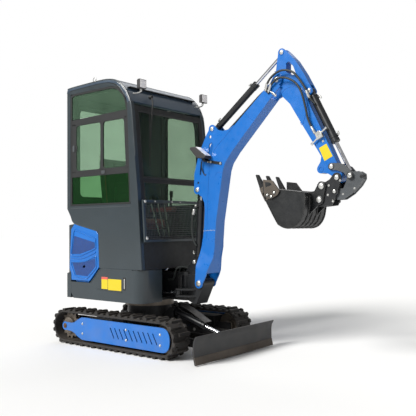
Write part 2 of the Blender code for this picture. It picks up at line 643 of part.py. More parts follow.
def rear_wall():
    half = HALF_WIDTH - WALL - GAP
    t = WALL
    outline = [(CAB_REAR_X, ROOF_EDGE_Z), (CAB_REAR_X, CAB_LEDGE_Z), (-0.463, 1.031),
               (-0.463 + t, 1.045), (CAB_REAR_X + t, CAB_LEDGE_Z + 0.010),
               (CAB_REAR_X + t, ROOF_EDGE_Z)]
    wide = HALF_WIDTH - REAR_WINDOW_INSET
    window = block(CAB_REAR_X - 0.02, CAB_REAR_X + t + 0.02, -wide, wide, 1.25, 2.06)
    solid("cab_rear_wall", "paint_grey", side_plate(outline, -half, half), cuts=[window])
    solid("rear_window", "glass", block(CAB_REAR_X + 0.008, CAB_REAR_X + 0.008 + GLASS,
                                        -wide + GAP, wide - GAP, 1.25 + GAP, 2.06 - GAP),
          smooth=False)


def roof():
    outline = list(ROOF_LINE) + [(CAB_REAR_X - 0.004, ROOF_EDGE_Z + GAP)]
    inner = inset_line(ROOF_LINE, ROOF_PANEL)
    outline += [(CAB_REAR_X + 0.03, ROOF_EDGE_Z + GAP)] + list(reversed(inner[:-1]))
    made = solid("cab_roof", "paint_grey", side_plate(outline, -HALF_WIDTH, HALF_WIDTH))
    bevel = made.modifiers.new("Soft side edges", "BEVEL")
    bevel.width = 0.012
    bevel.segments = 2
    bevel.limit_method = "WEIGHT"
    weight_edges(made, lambda a, b: abs(a.y - b.y) < 1e-6 and a.z + b.z > 3.9
                 and on_line(a) and on_line(b))


def on_line(point):
    """Whether a corner of the roof lies on its outer line."""
    return any(math.dist((point.x, point.z), corner) < 1e-5 for corner in ROOF_LINE)


def weight_edges(made, wanted):
    """Gives the edges that a bevel rounds their weight."""
    weights = made.data.attributes.new("bevel_weight_edge", "FLOAT", "EDGE")
    corners = made.data.vertices
    for edge in made.data.edges:
        a, b = (corners[i].co for i in edge.vertices)
        if wanted(a, b):
            weights.data[edge.index].value = 1.0


def front_panel():
    """The slanted front frame between the side walls, with its two glasses."""
    half = HALF_WIDTH - WALL - GAP
    line = list(FRONT_LINE) + [(0.240, 1.9750)]
    back = [(x - FRONT_PANEL, z) for x, z in reversed(line)]
    low, joint, high = 0.905, 1.375, 1.935
    wide = WINDSCREEN_HALF
    cuts = [block(0.10, 0.50, -wide, wide, low, joint - 0.012),
            block(0.10, 0.50, -wide, wide, joint + 0.012, high)]
    solid("cab_front_frame", "paint_black", side_plate(line + back, -half, half), cuts=cuts)
    for name, z0, z1 in (("windscreen_lower", low, joint - 0.012),
                         ("windscreen_upper", joint + 0.012, high)):
        z0, z1 = z0 + GAP, z1 - GAP
        pane = [(front_x(z) - 0.006, z) for z in pane_heights(z0, z1)]
        pane += [(x - GLASS, z) for x, z in reversed(pane)]
        solid(name, "glass", side_plate(pane, -wide + GAP, wide - GAP), smooth=False)


def front_x(z):
    """The front line's X at a height."""
    for (x0, z0), (x1, z1) in zip(FRONT_LINE, FRONT_LINE[1:] + ((0.240, 1.9750),)):
        if z0 <= z <= z1:
            return x0 + (x1 - x0) * (z - z0) / (z1 - z0)
    return 0.240


def pane_heights(low, high):
    """A pane's ends and the front line's corners between them."""
    return [low] + [z for _, z in FRONT_LINE if low < z < high] + [high]


def guard():
    """The wire guard in front of the lower glass, as one framed sheet on four stand-offs."""
    low, high, half = 0.886, 1.200, HALF_WIDTH - GUARD_INSET
    stand = 0.028

    def bar(z, size):
        x = front_x(z) + stand
        return block(x - size / 2, x + size / 2, -half, half, z - size / 2, z + size / 2)

    sheet = side_plate([(front_x(low) + stand + 0.002, low), (front_x(high) + stand + 0.002, high),
                        (front_x(high) + stand - 0.002, high),
                        (front_x(low) + stand - 0.002, low)], -half + 0.005, half - 0.005)
    posts = [side_plate(strut((front_x(low) + stand, low), (front_x(high) + stand, high), 0.022),
                        *sorted((side * (half - 0.011), side * (half + 0.011))))
             for side in (-1, 1)]
    feet = [tube((front_x(z) + 0.0009, y, z), (front_x(z) + stand, y, z), 0.008, 12)
            for z in (low + 0.03, high - 0.03) for y in (0.025 - half, half - 0.025)]
    solid("front_guard", "paint_black", bar(low, 0.022), [bar(high, 0.022), sheet, *posts, *feet])


def floor_and_seat():
    top = CAB_BOTTOM_Z + FLOOR_PLATE
    half = HALF_WIDTH - WALL - GAP
    solid("cab_floor", "paint_black", block(-0.13, 0.325, -half, half, CAB_BOTTOM_Z, top),
          smooth=False)
    side = HALF_WIDTH - WALL - SEAT_BOX_CLEARANCE
    box = [(-0.425, CAB_BOTTOM_Z + 0.20), (-0.140, CAB_BOTTOM_Z + 0.20), (-0.140, top + GAP),
           (-0.060, top + GAP), (-0.060, 0.965), (-0.425, 1.000)]
    consoles = [side_plate([(-0.40, 0.90), (-0.04, 0.90), (-0.01, 1.06), (-0.06, 1.13),
                            (-0.36, 1.13), (-0.40, 1.08)], *sorted((s * (side - 0.095), s * side)))
                for s in (-1, 1)]
    legs = [block(-0.42, -0.39, *sorted((s * (side - 0.065), s * (side - 0.005))),
                  SKIRT_TOP_Z + 0.0003, 0.95)
            for s in (-1, 1)]
    sticks = [tube((-0.07, s * (side - 0.050), 1.12), (-0.05, s * (side - 0.055), 1.30), 0.011, 12)
              for s in (-1, 1)]
    solid("seat_base", "paint_black", side_plate(box, -side, side),
          [*consoles, *legs, *sticks])
    cushion = [(-0.360, 0.9942), (-0.060, 0.9655), (0.020, 0.980), (0.045, 1.020), (0.030, 1.060),
               (-0.040, 1.075), (-0.330, 1.078), (-0.362, 1.050)]
    solid("seat_cushion", "vinyl", side_plate(cushion, -0.235, 0.235))
    back = [(-0.330, 1.0784), (-0.290, 1.0781), (-0.345, 1.560), (-0.370, 1.620), (-0.420, 1.640),
            (-0.455, 1.600), (-0.450, 1.500), (-0.400, 1.085)]
    solid("seat_back", "vinyl", side_plate(back, -0.215, 0.215))
    levers = [tube((0.190, y, top + 0.02), (0.110, y * 1.5, 1.270), 0.007, 8)
              for y in (-0.045, 0.045)]
    pedals = [side_plate([(0.20, top + 0.02), (0.21, top + 0.02), (0.245, top + 0.12),
                          (0.235, top + 0.125)], y - 0.04, y + 0.04) for y in (-0.10, 0.10)]
    solid("travel_levers", "steel", block(0.175, 0.215, -0.150, 0.150, top + GAP, top + 0.035),
          [*levers, *pedals])


def work_lights():
    for side, word in ((-1, "right"), (1, "left")):
        x, y, z = 0.309, side * (HALF_WIDTH - WORK_LIGHT_INSET), 2.135
        case = block(x - 0.030, x + 0.012, y - 0.038, y + 0.038, z - 0.035, z + 0.038)
        stem = tube((x - 0.012, y, z - 0.03), (x - 0.012, y, z - 0.055), 0.008, 12)
        bracket = side_plate([(x + 0.006, z - 0.062), (x + 0.006, z - 0.050),
                              roof_seat(z - 0.050), roof_seat(z - 0.085),
                              (x - 0.020, z - 0.066)], y - 0.014, y + 0.014)
        solid(f"{word}_work_light", "lamp", case, [stem, bracket])


def roof_seat(height):
    """The point just outside the roof's front line at a height."""
    for (x0, z0), (x1, z1) in zip(ROOF_LINE, ROOF_LINE[1:]):
        if z0 <= height <= z1:
            x = x0 + (x1 - x0) * (height - z0) / (z1 - z0)
            return (x + 0.0008, height)
    return (ROOF_LINE[0][0] + 0.0008, height)


# ---------------------------------------------------------------- working equipment

def swing_post():
    pivot = (SWING_X, 0, 0)
    lug_z = SKIRT_TOP_Z - 0.030 - SWING_LUG_PLATE
    low_z = DECK_BOTTOM_Z + DECK_PLATE
    boss = tube((SWING_X, 0, low_z + 0.0005), (SWING_X, 0, lug_z - 0.0005), 0.050, 24)
    core = block(SWING_X + 0.010, 0.53, -0.045, 0.045, 0.430, 0.590)
    profile = ([(0.505, 0.610), (0.505, 0.400), (0.560, 0.375), (0.588, 0.375)]
               + arc(FOOT, 0.036, -35, 100, 8) + [(0.600, 0.610)])
    body = side_plate(profile, -0.070, 0.070)
    ear = ([(0.510, 0.590), (0.510, 0.634), (0.470, 0.634)]
           + arc(BOOM_CYLINDER_BASE, 0.026, 140, 0, 8) + [(0.600, 0.640), (0.596, 0.590)])
    ears = both_sides(lambda a, b: side_plate(ear, a, b), 0.046, 0.060)
    ear_pin = cross_tube(BOOM_CYLINDER_BASE, 0.014, -0.066, 0.066)
    pin = SWING_CYLINDER_PIN
    lug = (arc(pin, 0.028, 90, 290, 10)
           + [(0.560, -0.110), (0.592, -0.060), (0.515, -0.055), (0.500, -0.080)])
    lugs = [flat_plate(lug, z, z + 0.014)
            for z in (SWING_CYLINDER_Z - 0.034, SWING_CYLINDER_Z + 0.020)]
    cuts = [cross_tube(FOOT, bore_radius(FOOT_PIN), -0.10, 0.10),
            tube((SWING_X, 0, 0.30), (SWING_X, 0, 0.70), bore_radius(SWING_PIN_RADIUS))]
    solid("swing_post", "paint_black", body, [boss, core, *ears, ear_pin, *lugs], cuts,
          pivot=pivot)
    cylinder("swing_cylinder", SWING_CYLINDER_BASE, SWING_CYLINDER_PIN, 0.40, 0.028, 0.014,
             0.010, 0.021, 0.180, plane="xy", level=SWING_CYLINDER_Z)


def bent_foot(side):
    """A boom foot plate: straight at the box, flared out, and straight again at the foot pin."""
    rear_low, front_low = (0.603, 0.683), (0.718, 0.647)
    rear_high, front_high = (0.621, 0.786), (0.752, 0.745)
    foot = ([(0.5965, 0.600)] + arc(FOOT, FOOT_EYE, 170, 360, 12)
            + [(0.700, 0.600), front_low, rear_low])
    flare = [rear_low, front_low, front_high, rear_high]
    top = [rear_high, front_high, (0.771, 0.835), (0.773, 0.900), (0.650, 0.900), (0.637, 0.837)]
    rows = ((foot, FOOT_HALF, FOOT_HALF), (flare, FOOT_HALF, BOOM_HALF), (top, BOOM_HALF, BOOM_HALF))
    mesh = bmesh.new()
    corners = {}

    def corner(point, depth):
        key = (*point, round(depth, 5))
        if key not in corners:
            corners[key] = mesh.verts.new((point[0], side * depth, point[1]))
        return corners[key]

    for offset in (0.0, BOOM_PLATE):
        for outline, low, high in rows:
            depths = {rear_low: low, front_low: low, rear_high: high, front_high: high}
            mesh.faces.new([corner(p, depths.get(p, low) - offset) for p in outline])
    open_edges = [edge for edge in mesh.edges if len(edge.link_faces) == 1]
    bmesh.ops.bridge_loops(mesh, edges=open_edges)
    return closed(mesh)


def boom():
    pivot = in_plane(FOOT)
    inner = BOOM_HALF - BOOM_PLATE
    underside = [(0.773, 0.890), (0.786, 1.038), (0.858, 1.435), (0.881, 1.492), (0.947, 1.574)]
    top_line = [(1.168, 1.935), (0.971, 1.772), (0.794, 1.621), (0.748, 1.555), (0.720, 1.440)]
    box = (underside + [(1.331, 1.962), (1.395, 2.016), (1.300, 2.046)] + top_line
           + [(0.700, 1.150), (0.690, 0.890)])
    gusset = [(0.650, 0.880), (0.664, 0.990), (0.672, 1.120), (0.668, 1.185), (0.645, 1.232),
              (0.612, 1.252)]
    gusset += arc(BOOM_CYLINDER_PIN, 0.036, -60, -190, 6)
    gusset += [(0.566, 1.420), (0.601, 1.535), (0.643, 1.631), (0.692, 1.722)]
    gusset += arc(ARM_CYLINDER_BASE, 0.034, 190, 50, 6)
    gusset += [(0.810, 1.755), (0.857, 1.742), (0.915, 1.748), (0.965, 1.774), (0.985, 1.740),
               (0.800, 1.500), (0.760, 0.880)]
    slot = [(0.705, 1.535), (0.722, 1.528), (0.745, 1.560), (0.765, 1.640), (0.748, 1.662),
            (0.722, 1.648)]
    plates = both_sides(lambda a, b: side_plate(gusset, a, b), inner, BOOM_HALF)
    tip = ([(1.168, 1.900), (1.340, 1.955)] + arc(ARM_PIVOT, 0.046, -60, 110, 10)
           + [(1.300, 2.040), (1.150, 1.915)])
    tips = both_sides(lambda a, b: side_plate(tip, a, b), inner, BOOM_HALF)
    feet = [bent_foot(-1), bent_foot(1)]
    shin = [(0.690, 0.900), (0.650, 0.870), (0.655, 0.815), (0.720, 0.775), (0.7515, 0.755),
            (0.7700, 0.835), (0.7725, 0.900)]
    front_plate = flared_front()
    pins = [cross_tube(FOOT, FOOT_PIN, -FOOT_HALF - 0.006, FOOT_HALF + 0.006),
            cross_tube(ARM_CYLINDER_BASE, 0.014, -BOOM_HALF - 0.006, BOOM_HALF + 0.006),
            cross_tube(ARM_PIVOT, 0.017, -BOOM_HALF - 0.006, BOOM_HALF + 0.006)]
    for side in (-1, 1):
        pins.append(cross_tube(BOOM_CYLINDER_PIN, 0.015,
                               *sorted((side * inner, side * (BOOM_HALF + 0.006)))))
    round_end = cross_tube(ARM_PIVOT, 0.150, -inner, inner, 32)
    low_slot = [(0.635, 1.514), (0.621, 1.414), (0.629, 1.406), (0.637, 1.411), (0.651, 1.508),
                (0.644, 1.516)]
    openings = [side_plate(slot, -0.08, 0.08), side_plate(low_slot, -0.08, 0.08),
                cross_tube((0.732, 1.707), 0.013, -0.08, 0.08),
                cross_tube((0.607, 1.348), 0.010, -0.08, 0.08)]
    solid("boom", "paint_blue", side_plate(box, -BOOM_HALF, BOOM_HALF),
          [*plates, side_plate(shin, -BOOM_HALF + 0.001, BOOM_HALF - 0.001), *feet, front_plate],
          [round_end, *openings], pivot=pivot)
    made = bpy.data.objects["boom"]
    for number, shape in enumerate([*tips, *pins]):
        tool = scene_object(f"boom_pin_{number}", shape, pivot, bpy.data.objects["machine"])
        tool.hide_render = True
        tool.display_type = "WIRE"
        boolean = made.modifiers.new(f"Pin {number}", "BOOLEAN")
        boolean.operation = "UNION"
        boolean.solver = "EXACT"
        boolean.object = tool
    cylinder("boom_cylinder", BOOM_CYLINDER_BASE, BOOM_CYLINDER_PIN, 0.500, 0.033, 0.018,
             0.014, 0.040, 0.100)
    cylinder("arm_cylinder", ARM_CYLINDER_BASE, ARM_CYLINDER_PIN, 0.505, 0.028, 0.0135,
             0.014, 0.021, 0.290)


def flared_front():
    """The front plate of the foot, widening with the flare and ending in an arch."""
    line = [((0.7525, 0.756), BOOM_HALF), ((0.752, 0.745), BOOM_HALF),
            ((0.718, 0.647), FOOT_HALF), ((0.7095, 0.625), FOOT_HALF)]
    mesh = bmesh.new()
    depth = 0.012
    rows = []
    for (x, z), half in line:
        half -= 0.001
        rows.append([mesh.verts.new((x - 0.001, -half, z)), mesh.verts.new((x - 0.001, half, z)),
                     mesh.verts.new((x - depth, half, z)), mesh.verts.new((x - depth, -half, z))])
    for above, below in zip(rows, rows[1:]):
        for i in range(4):
            mesh.faces.new([above[i], above[(i + 1) % 4], below[(i + 1) % 4], below[i]])
    mesh.faces.new(rows[0])
    mesh.faces.new(list(reversed(rows[-1])))
    return closed(mesh)


def arm():
    pivot = in_plane(ARM_PIVOT)
    head = (arc(ARM_CYLINDER_PIN, 0.030, 190, 40, 8)
            + [(1.440, 2.262), (1.506, 2.190), (1.575, 2.083), (1.628, 1.984)]
            + arc(BUCKET_CYLINDER_BASE, 0.028, 20, -100, 6)
            + [(1.560, 1.850), (1.457, 1.879), (1.398, 1.937)]
            + arc(ARM_PIVOT, 0.046, 290, 150, 8) + [(1.343, 2.140)])
    beam = [(1.398, 1.937), (1.457, 1.879), (1.576, 1.686), (1.707, 1.477), (1.700, 1.440)]
    beam += arc((1.703, 1.389), 0.031, 150, 300, 8)
    beam += [(1.760, 1.352), (1.795, 1.330)] + arc(ARM_TIP, 0.034, 200, 370, 8)
    beam += [(1.862, 1.360), (1.817, 1.440), (1.764, 1.557), (1.631, 1.825), (1.600, 1.900),
             (1.480, 1.990)]
    gap = 0.023
    eye_room = ([(1.300, 2.300), (1.300, 2.140)] + [(1.380, 2.150), (1.425, 2.185), (1.440, 2.235),
                                                   (1.430, 2.330), (1.350, 2.330)])
    base_room = [(1.560, 1.915), (1.600, 1.895), (1.700, 1.860), (1.760, 1.960), (1.640, 2.000),
                 (1.590, 1.990)]
    window = [(1.430, 2.114), (1.430, 2.180), (1.455, 2.188), (1.489, 2.148), (1.513, 2.086),
              (1.480, 2.082)]
    cuts = [side_plate(eye_room, -gap, gap), side_plate(base_room, -gap, gap),
            side_plate(window, -0.05, 0.05),
            cross_tube(ARM_PIVOT, bore_radius(0.017), -0.05, 0.05),
            cross_tube(ARM_TIP, bore_radius(0.015), -0.05, 0.05),
            cross_tube(GUIDE_PIVOT, bore_radius(0.013), -0.05, 0.05),
            cross_tube((1.703, 1.389), 0.013, -0.05, 0.05)]
    base_pin = cross_tube(BUCKET_CYLINDER_BASE, 0.014, -0.041, 0.041)
    solid("arm", "paint_blue", side_plate(head, -ARM_HALF, ARM_HALF),
          [side_plate(beam, -ARM_HALF + 0.0005, ARM_HALF - 0.0005)], cuts, pivot=pivot)
    made = bpy.data.objects["arm"]
    extra = [base_pin] + [cross_tube(ARM_CYLINDER_PIN, 0.013, *sorted((s * gap, s * 0.041)))
                          for s in (-1, 1)]
    for number, shape in enumerate(extra):
        tool = scene_object(f"arm_pin_{number}", shape, pivot, bpy.data.objects["machine"])
        tool.hide_render = True
        tool.display_type = "WIRE"
        boolean = made.modifiers.new(f"Pin {number}", "BOOLEAN")
        boolean.operation = "UNION"
        boolean.solver = "EXACT"
        boolean.object = tool
    cylinder("bucket_cylinder", BUCKET_CYLINDER_BASE, LINK_JOINT, 0.425, 0.031, 0.0135,
             0.014, 0.021, 0.265)


def linkage():
    """The guide links, the bucket link and the quick coupler."""
    guide = (arc(GUIDE_PIVOT, 0.024, 100, 280, 8) + [(1.830, 1.372), (1.885, 1.352)]
             + arc(LINK_JOINT, 0.024, 230, 400, 8) + [(1.900, 1.396), (1.850, 1.420)])
    plates = both_sides(lambda a, b: side_plate(guide, a, b), 0.0385, 0.0500)
    pins = [cross_tube(GUIDE_PIVOT, 0.013, -0.056, 0.056)]
    pins += [cross_tube(LINK_JOINT, 0.013, *sorted((s * 0.0185, s * 0.056))) for s in (-1, 1)]
    solid("guide_link", "paint_black", pins[0], [*plates, *pins[1:]], pivot=in_plane(GUIDE_PIVOT))

    link = (arc(LINK_JOINT, 0.030, 150, 60, 4)
            + [(1.985, 1.358), (2.012, 1.340), (2.014, 1.305), (1.986, 1.262), (1.930, 1.208),
               (1.868, 1.172), (1.822, 1.170)]
            + arc(COUPLER_LINK_PIN, 0.024, 200, 80, 5) + [(1.868, 1.245), (1.890, 1.290)])
    plates = both_sides(lambda a, b: side_plate(link, a, b), 0.0195, 0.0310)
    bridge = side_plate([(1.880, 1.225), (1.905, 1.215), (1.955, 1.262), (1.940, 1.280)],
                        -0.025, 0.025)
    bore = cross_tube(LINK_JOINT, bore_radius(0.013), -0.05, 0.05)
    boss = cross_tube(COUPLER_LINK_PIN, 0.020, -0.031, 0.031)
    solid("bucket_link", "paint_black", bridge, [*plates, boss], [bore],
          pivot=in_plane(LINK_JOINT))

    ear = ([(1.776, 1.312)] + arc(ARM_TIP, 0.034, 140, -20, 8)
           + arc(COUPLER_LINK_PIN, 0.030, 20, -60, 5)
           + [(1.790, 1.134), (1.672, 1.124), (1.672, 1.200), (1.700, 1.300), (1.745, 1.296)])
    plates = both_sides(lambda a, b: side_plate(ear, a, b), 0.0380, 0.0500)
    middle = side_plate([(1.678, 1.130), (1.736, 1.130), (1.736, 1.182), (1.752, 1.205),
                         (1.752, 1.285), (1.678, 1.285)], -0.045, 0.045)
    pin = cross_tube(ARM_TIP, 0.015, -0.056, 0.056)
    bores = [cross_tube(centre, 0.016 / math.cos(math.pi / SIDES) + GAP, -0.08, 0.08)
             for centre in (BUCKET_PIN_FRONT, BUCKET_PIN_REAR)]
    link_room = cross_tube(COUPLER_LINK_PIN, 0.086, -0.037, 0.037, 32)
    solid("quick_coupler", "paint_black", middle, [*plates, pin], [*bores, link_room],
          pivot=in_plane(ARM_TIP))


def bucket():
    pivot = in_plane(ARM_TIP)
    t = BUCKET_PLATE
    outer = [(1.288, 1.248), (1.314, 1.191), (1.409, 1.030), (1.440, 0.999), (1.480, 0.983),
             (1.525, 0.981), (1.570, 0.995), (1.604, 1.028), (1.626, 1.075), (1.638, 1.150),
             (1.642, 1.222), (1.618, 1.228), (1.440, 1.252), (1.310, 1.262)]
    inside = [(1.305, 1.248), (1.328, 1.194), (1.419, 1.037), (1.446, 1.010), (1.482, 0.995),
              (1.523, 0.993), (1.563, 1.006), (1.593, 1.036), (1.614, 1.080), (1.626, 1.151),
              (1.629, 1.180), (1.618, 1.350), (1.250, 1.350)]
    half = BUCKET_HALF
    ears = ([(1.600, 1.226), (1.665, 1.236)] + arc(BUCKET_PIN_FRONT, 0.034, 120, -20, 8)
            + arc(BUCKET_PIN_REAR, 0.034, 10, -90, 6) + [(1.640, 1.090), (1.616, 1.060)])
    plates = both_sides(lambda a, b: side_plate(ears, a, b), 0.0505, 0.0640)
    pins = [cross_tube(centre, 0.016, -0.070, 0.070)
            for centre in (BUCKET_PIN_FRONT, BUCKET_PIN_REAR)]
    cutter = [(1.306, 1.329), (1.384, 1.318), (1.445, 1.242), (1.376, 1.189), (1.316, 1.200),
              (1.306, 1.262)]
    cutters = both_sides(lambda a, b: side_plate(cutter, a, b), half - 0.002, half + 0.012)
    teeth = []
    for y in (-half + 0.022, 0.0, half - 0.022):
        tooth = [(1.280, 1.232), (1.322, 1.185), (1.330, 1.230), (1.300, 1.275), (1.240, 1.370),
                 (1.232, 1.366)]
        teeth.append(side_plate(tooth, y - 0.019, y + 0.019))
    solid("bucket", "paint_black", side_plate(outer, -half, half),
          cuts=[side_plate(inside, -half + t, half - t)], pivot=pivot)
    made = bpy.data.objects["bucket"]
    for number, shape in enumerate([*plates, *pins, *cutters, *teeth]):
        tool = scene_object(f"bucket_add_{number}", shape, pivot, bpy.data.objects["machine"])
        tool.hide_render = True
        tool.display_type = "WIRE"
        boolean = made.modifiers.new(f"Add {number}", "BOOLEAN")
        boolean.operation = "UNION"
        boolean.solver = "EXACT"
        boolean.object = tool


def main():
    for old in list(bpy.data.objects):
        bpy.data.objects.remove(old, do_unlink=True)
    machine = bpy.data.objects.new("machine", None)
    machine.location = (SLEW_X, 0, 0)
    bpy.context.scene.collection.objects.link(machine)
    centre_frame()
    for side, word in ((-1, "right"), (1, "left")):
        track_side(side, word)
    dozer_blade()
    cylinder("blade_cylinder", BLADE_CYLINDER_BASE, BLADE_CYLINDER_PIN, 0.36, 0.027, 0.013,
             0.011, 0.018, 0.150)
    deck()
    engine()
    counterweight()
    hood()
    for side, word in ((-1, "right"), (1, "left")):
        skirt(side, word)
        vent_cover(side, word)
    right_wall()
    left_wall_and_door()
    rear_wall()
    roof()
    front_panel()
    guard()
    floor_and_seat()
    work_lights()
    swing_post()
    boom()
    arm()
    linkage()
    bucket()


main()
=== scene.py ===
"""The looks of a mini excavator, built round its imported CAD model.

Every number is in metres in the machine's own frame: +X forward, +Y the operator's left, +Z up,
and X = 0 on the slew axis. The axis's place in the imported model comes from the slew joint.
"""

import json
import math

import bmesh
import bpy
from mathutils import Matrix, Vector


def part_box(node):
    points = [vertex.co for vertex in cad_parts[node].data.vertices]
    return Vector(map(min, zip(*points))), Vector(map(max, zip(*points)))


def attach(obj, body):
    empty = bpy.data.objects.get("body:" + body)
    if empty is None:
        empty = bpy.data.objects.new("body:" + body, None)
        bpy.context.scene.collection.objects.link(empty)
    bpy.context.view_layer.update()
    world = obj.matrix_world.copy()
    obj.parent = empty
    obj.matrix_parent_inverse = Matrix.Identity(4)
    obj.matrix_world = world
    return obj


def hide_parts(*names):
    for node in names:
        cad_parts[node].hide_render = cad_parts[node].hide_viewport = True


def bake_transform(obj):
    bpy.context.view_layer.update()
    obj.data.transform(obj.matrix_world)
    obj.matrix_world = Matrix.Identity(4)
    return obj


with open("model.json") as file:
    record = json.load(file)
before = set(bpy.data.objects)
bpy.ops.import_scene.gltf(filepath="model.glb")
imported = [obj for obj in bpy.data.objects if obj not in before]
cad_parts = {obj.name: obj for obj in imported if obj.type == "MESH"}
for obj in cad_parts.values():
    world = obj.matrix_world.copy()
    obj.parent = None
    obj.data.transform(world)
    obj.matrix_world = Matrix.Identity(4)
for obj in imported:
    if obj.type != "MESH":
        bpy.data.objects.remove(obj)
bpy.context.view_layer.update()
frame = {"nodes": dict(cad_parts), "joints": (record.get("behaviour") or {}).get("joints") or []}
NODES = frame["nodes"]
SLEW_X = next(j["pos_m"][0] for j in frame["joints"] if j["name"] == "slew")

TRACK_OUTER_Y = 0.494
TRACK_INNER_Y = 0.307
TRACK_RADIUS = 0.150
WHEELS_X = (-0.555, 0.588)
COVER_Y = 0.4746
HALF_WIDTH = 0.4544
WELD = 0.0022                       # radius of a weld bead
FINE_WELD = 0.0020
WELD_STAND = 0.0002                 # a bead's middle line over its plate
HOSE_RADIUS = 0.0080
THIN_HOSE = 0.0075
STICKER = (-0.0005, 0.0008)         # a sticker's two faces over its wall
BOOM_HALF = 0.0565
ARM_HALF = 0.035
FOOT = (0.630, 0.543)
ARM_PIVOT = (1.358, 2.066)
ARM_TIP = (1.829, 1.322)
BOOM_CYLINDER = ((0.561, 0.710), (0.597, 1.291))
ARM_CYLINDER = ((0.752, 1.767), (1.392, 2.265))
BUCKET_CYLINDER = ((1.615, 1.950), (1.926, 1.330))
BLADE_CYLINDER = ((0.28, 0.300), (0.84, 0.130))
SWING_CYLINDER = ((-0.12, -0.20), (0.45, -0.130))
SWING_CYLINDER_Z = 0.465
GUIDE_PIVOT = (1.790, 1.400)
LINK_JOINT = (1.926, 1.330)
COUPLER_LINK_PIN = (1.811, 1.228)
BUCKET_PINS = ((1.718, 1.267), (1.700, 1.174))
FRONT_LINE = ((0.362, 0.658), (0.345, 0.886), (0.320, 1.247), (0.292, 1.527), (0.255, 1.900),
              (0.240, 1.975))
ROOF_LINE = ((0.236, 2.005), (0.196, 2.086), (0.140, 2.152), (0.075, 2.195), (-0.020, 2.218),
             (-0.150, 2.224), (-0.500, 2.216), (-0.545, 2.206))


# ---------------------------------------------------------------- materials

def node(tree, kind, settings=None, **inputs):
    """A shader node with its settings and its sockets' values."""
    made = tree.nodes.new("ShaderNode" + kind)
    for key, value in (settings or {}).items():
        setattr(made, key, value)
    for key, value in inputs.items():
        socket = made.inputs[key.replace("_", " ")]
        if isinstance(value, bpy.types.NodeSocket):
            tree.links.new(value, socket)
        else:
            socket.default_value = value
    return made


def noise(tree, place, scale, detail=3.0):
    return node(tree, "TexNoise", Vector=place, Scale=scale, Detail=detail).outputs["Fac"]


def ranged(tree, value, low, high, to_low, to_high):
    return node(tree, "MapRange", Value=value, From_Min=low, From_Max=high, To_Min=to_low,
                To_Max=to_high).outputs["Result"]


def product(tree, a, b):
    made = node(tree, "Math", {"operation": "MULTIPLY"})
    tree.links.new(a, made.inputs[0])
    tree.links.new(b, made.inputs[1])
    return made.outputs[0]


def mixed(tree, factor, first, second):
    """A colour mix; each colour is a socket or three numbers."""
    made = node(tree, "Mix", {"data_type": "RGBA"})
    tree.links.new(factor, made.inputs[0])
    for socket, value in ((made.inputs[6], first), (made.inputs[7], second)):
        if isinstance(value, bpy.types.NodeSocket):
            tree.links.new(value, socket)
        else:
            socket.default_value = (*value, 1)
    return made.outputs[2]


def look(name, colour, roughness, metallic=0.0, vary=0.10, grain=700, bump=0.05, dust=0.0,
         dirt=0.0, wear_and_highlight=0.0, coat=0.0, worn=(0.25, 0.21, 0.17), dust_colour=(0.26, 0.22, 0.18)):
    """A surface with cloudy colour, fine grain, dust on top, dirt low down and lighter edges: real
    wear on the scuffed parts, a painted edge highlight on the blue and charcoal enamel.
    """
    made = bpy.data.materials.new(name)
    made.use_nodes = True
    tree = made.node_tree
    shader = tree.nodes["Principled BSDF"]
    coords = node(tree, "TexCoord")
    place = coords.outputs["Object"]
    cloud = ranged(tree, noise(tree, place, 5.0, 5), 0.3, 0.7, 0.0, 1.0)
    tint = mixed(tree, cloud, [c * (1 - vary) for c in colour], [c * (1 + vary) for c in colour])
    rough = ranged(tree, noise(tree, place, 22.0, 4), 0.3, 0.7, max(0.02, roughness - 0.06),
                   roughness + 0.08)
    if dust:
        up = node(tree, "SeparateXYZ", Vector=coords.outputs["Normal"]).outputs["Z"]
        lying = product(tree, ranged(tree, up, 0.25, 0.95, 0.0, dust),
                        ranged(tree, noise(tree, place, 14.0, 6), 0.35, 0.65, 0.35, 1.0))
        tint = mixed(tree, lying, tint, dust_colour)
    if dirt:
        height = node(tree, "SeparateXYZ", Vector=place).outputs["Z"]
        splashed = product(tree, ranged(tree, height, 0.02, 0.42, dirt, 0.0),
                           ranged(tree, noise(tree, place, 11.0, 6), 0.38, 0.66, 0.0, 1.0))
        tint = mixed(tree, splashed, tint, dust_colour)
    # Lighter edges from the bevel mask: real wear on scuffed parts, and a painted edge highlight on
    # the blue and charcoal enamel.
    if wear_and_highlight:
        soft = node(tree, "Bevel", {"samples": 4}, Radius=0.004).outputs["Normal"]
        flat = node(tree, "NewGeometry").outputs["Normal"]
        turn = node(tree, "VectorMath", {"operation": "DOT_PRODUCT"})
        tree.links.new(soft, turn.inputs[0])
        tree.links.new(flat, turn.inputs[1])
        edge = product(tree, ranged(tree, turn.outputs["Value"], 0.98, 0.86, 0.0, wear_and_highlight),
                       ranged(tree, noise(tree, place, 60.0, 5), 0.35, 0.6, 0.2, 1.0))
        tint = mixed(tree, edge, tint, worn)
    tree.links.new(tint, shader.inputs["Base Color"])
    tree.links.new(rough, shader.inputs["Roughness"])
    shader.inputs["Metallic"].default_value = metallic
    shader.inputs["Coat Weight"].default_value = coat
    shader.inputs["Coat Roughness"].default_value = 0.12
    relief = node(tree, "Bump", Height=noise(tree, place, grain, 3), Strength=bump,
                  Distance=0.001)
    tree.links.new(relief.outputs["Normal"], shader.inputs["Normal"])
    return made


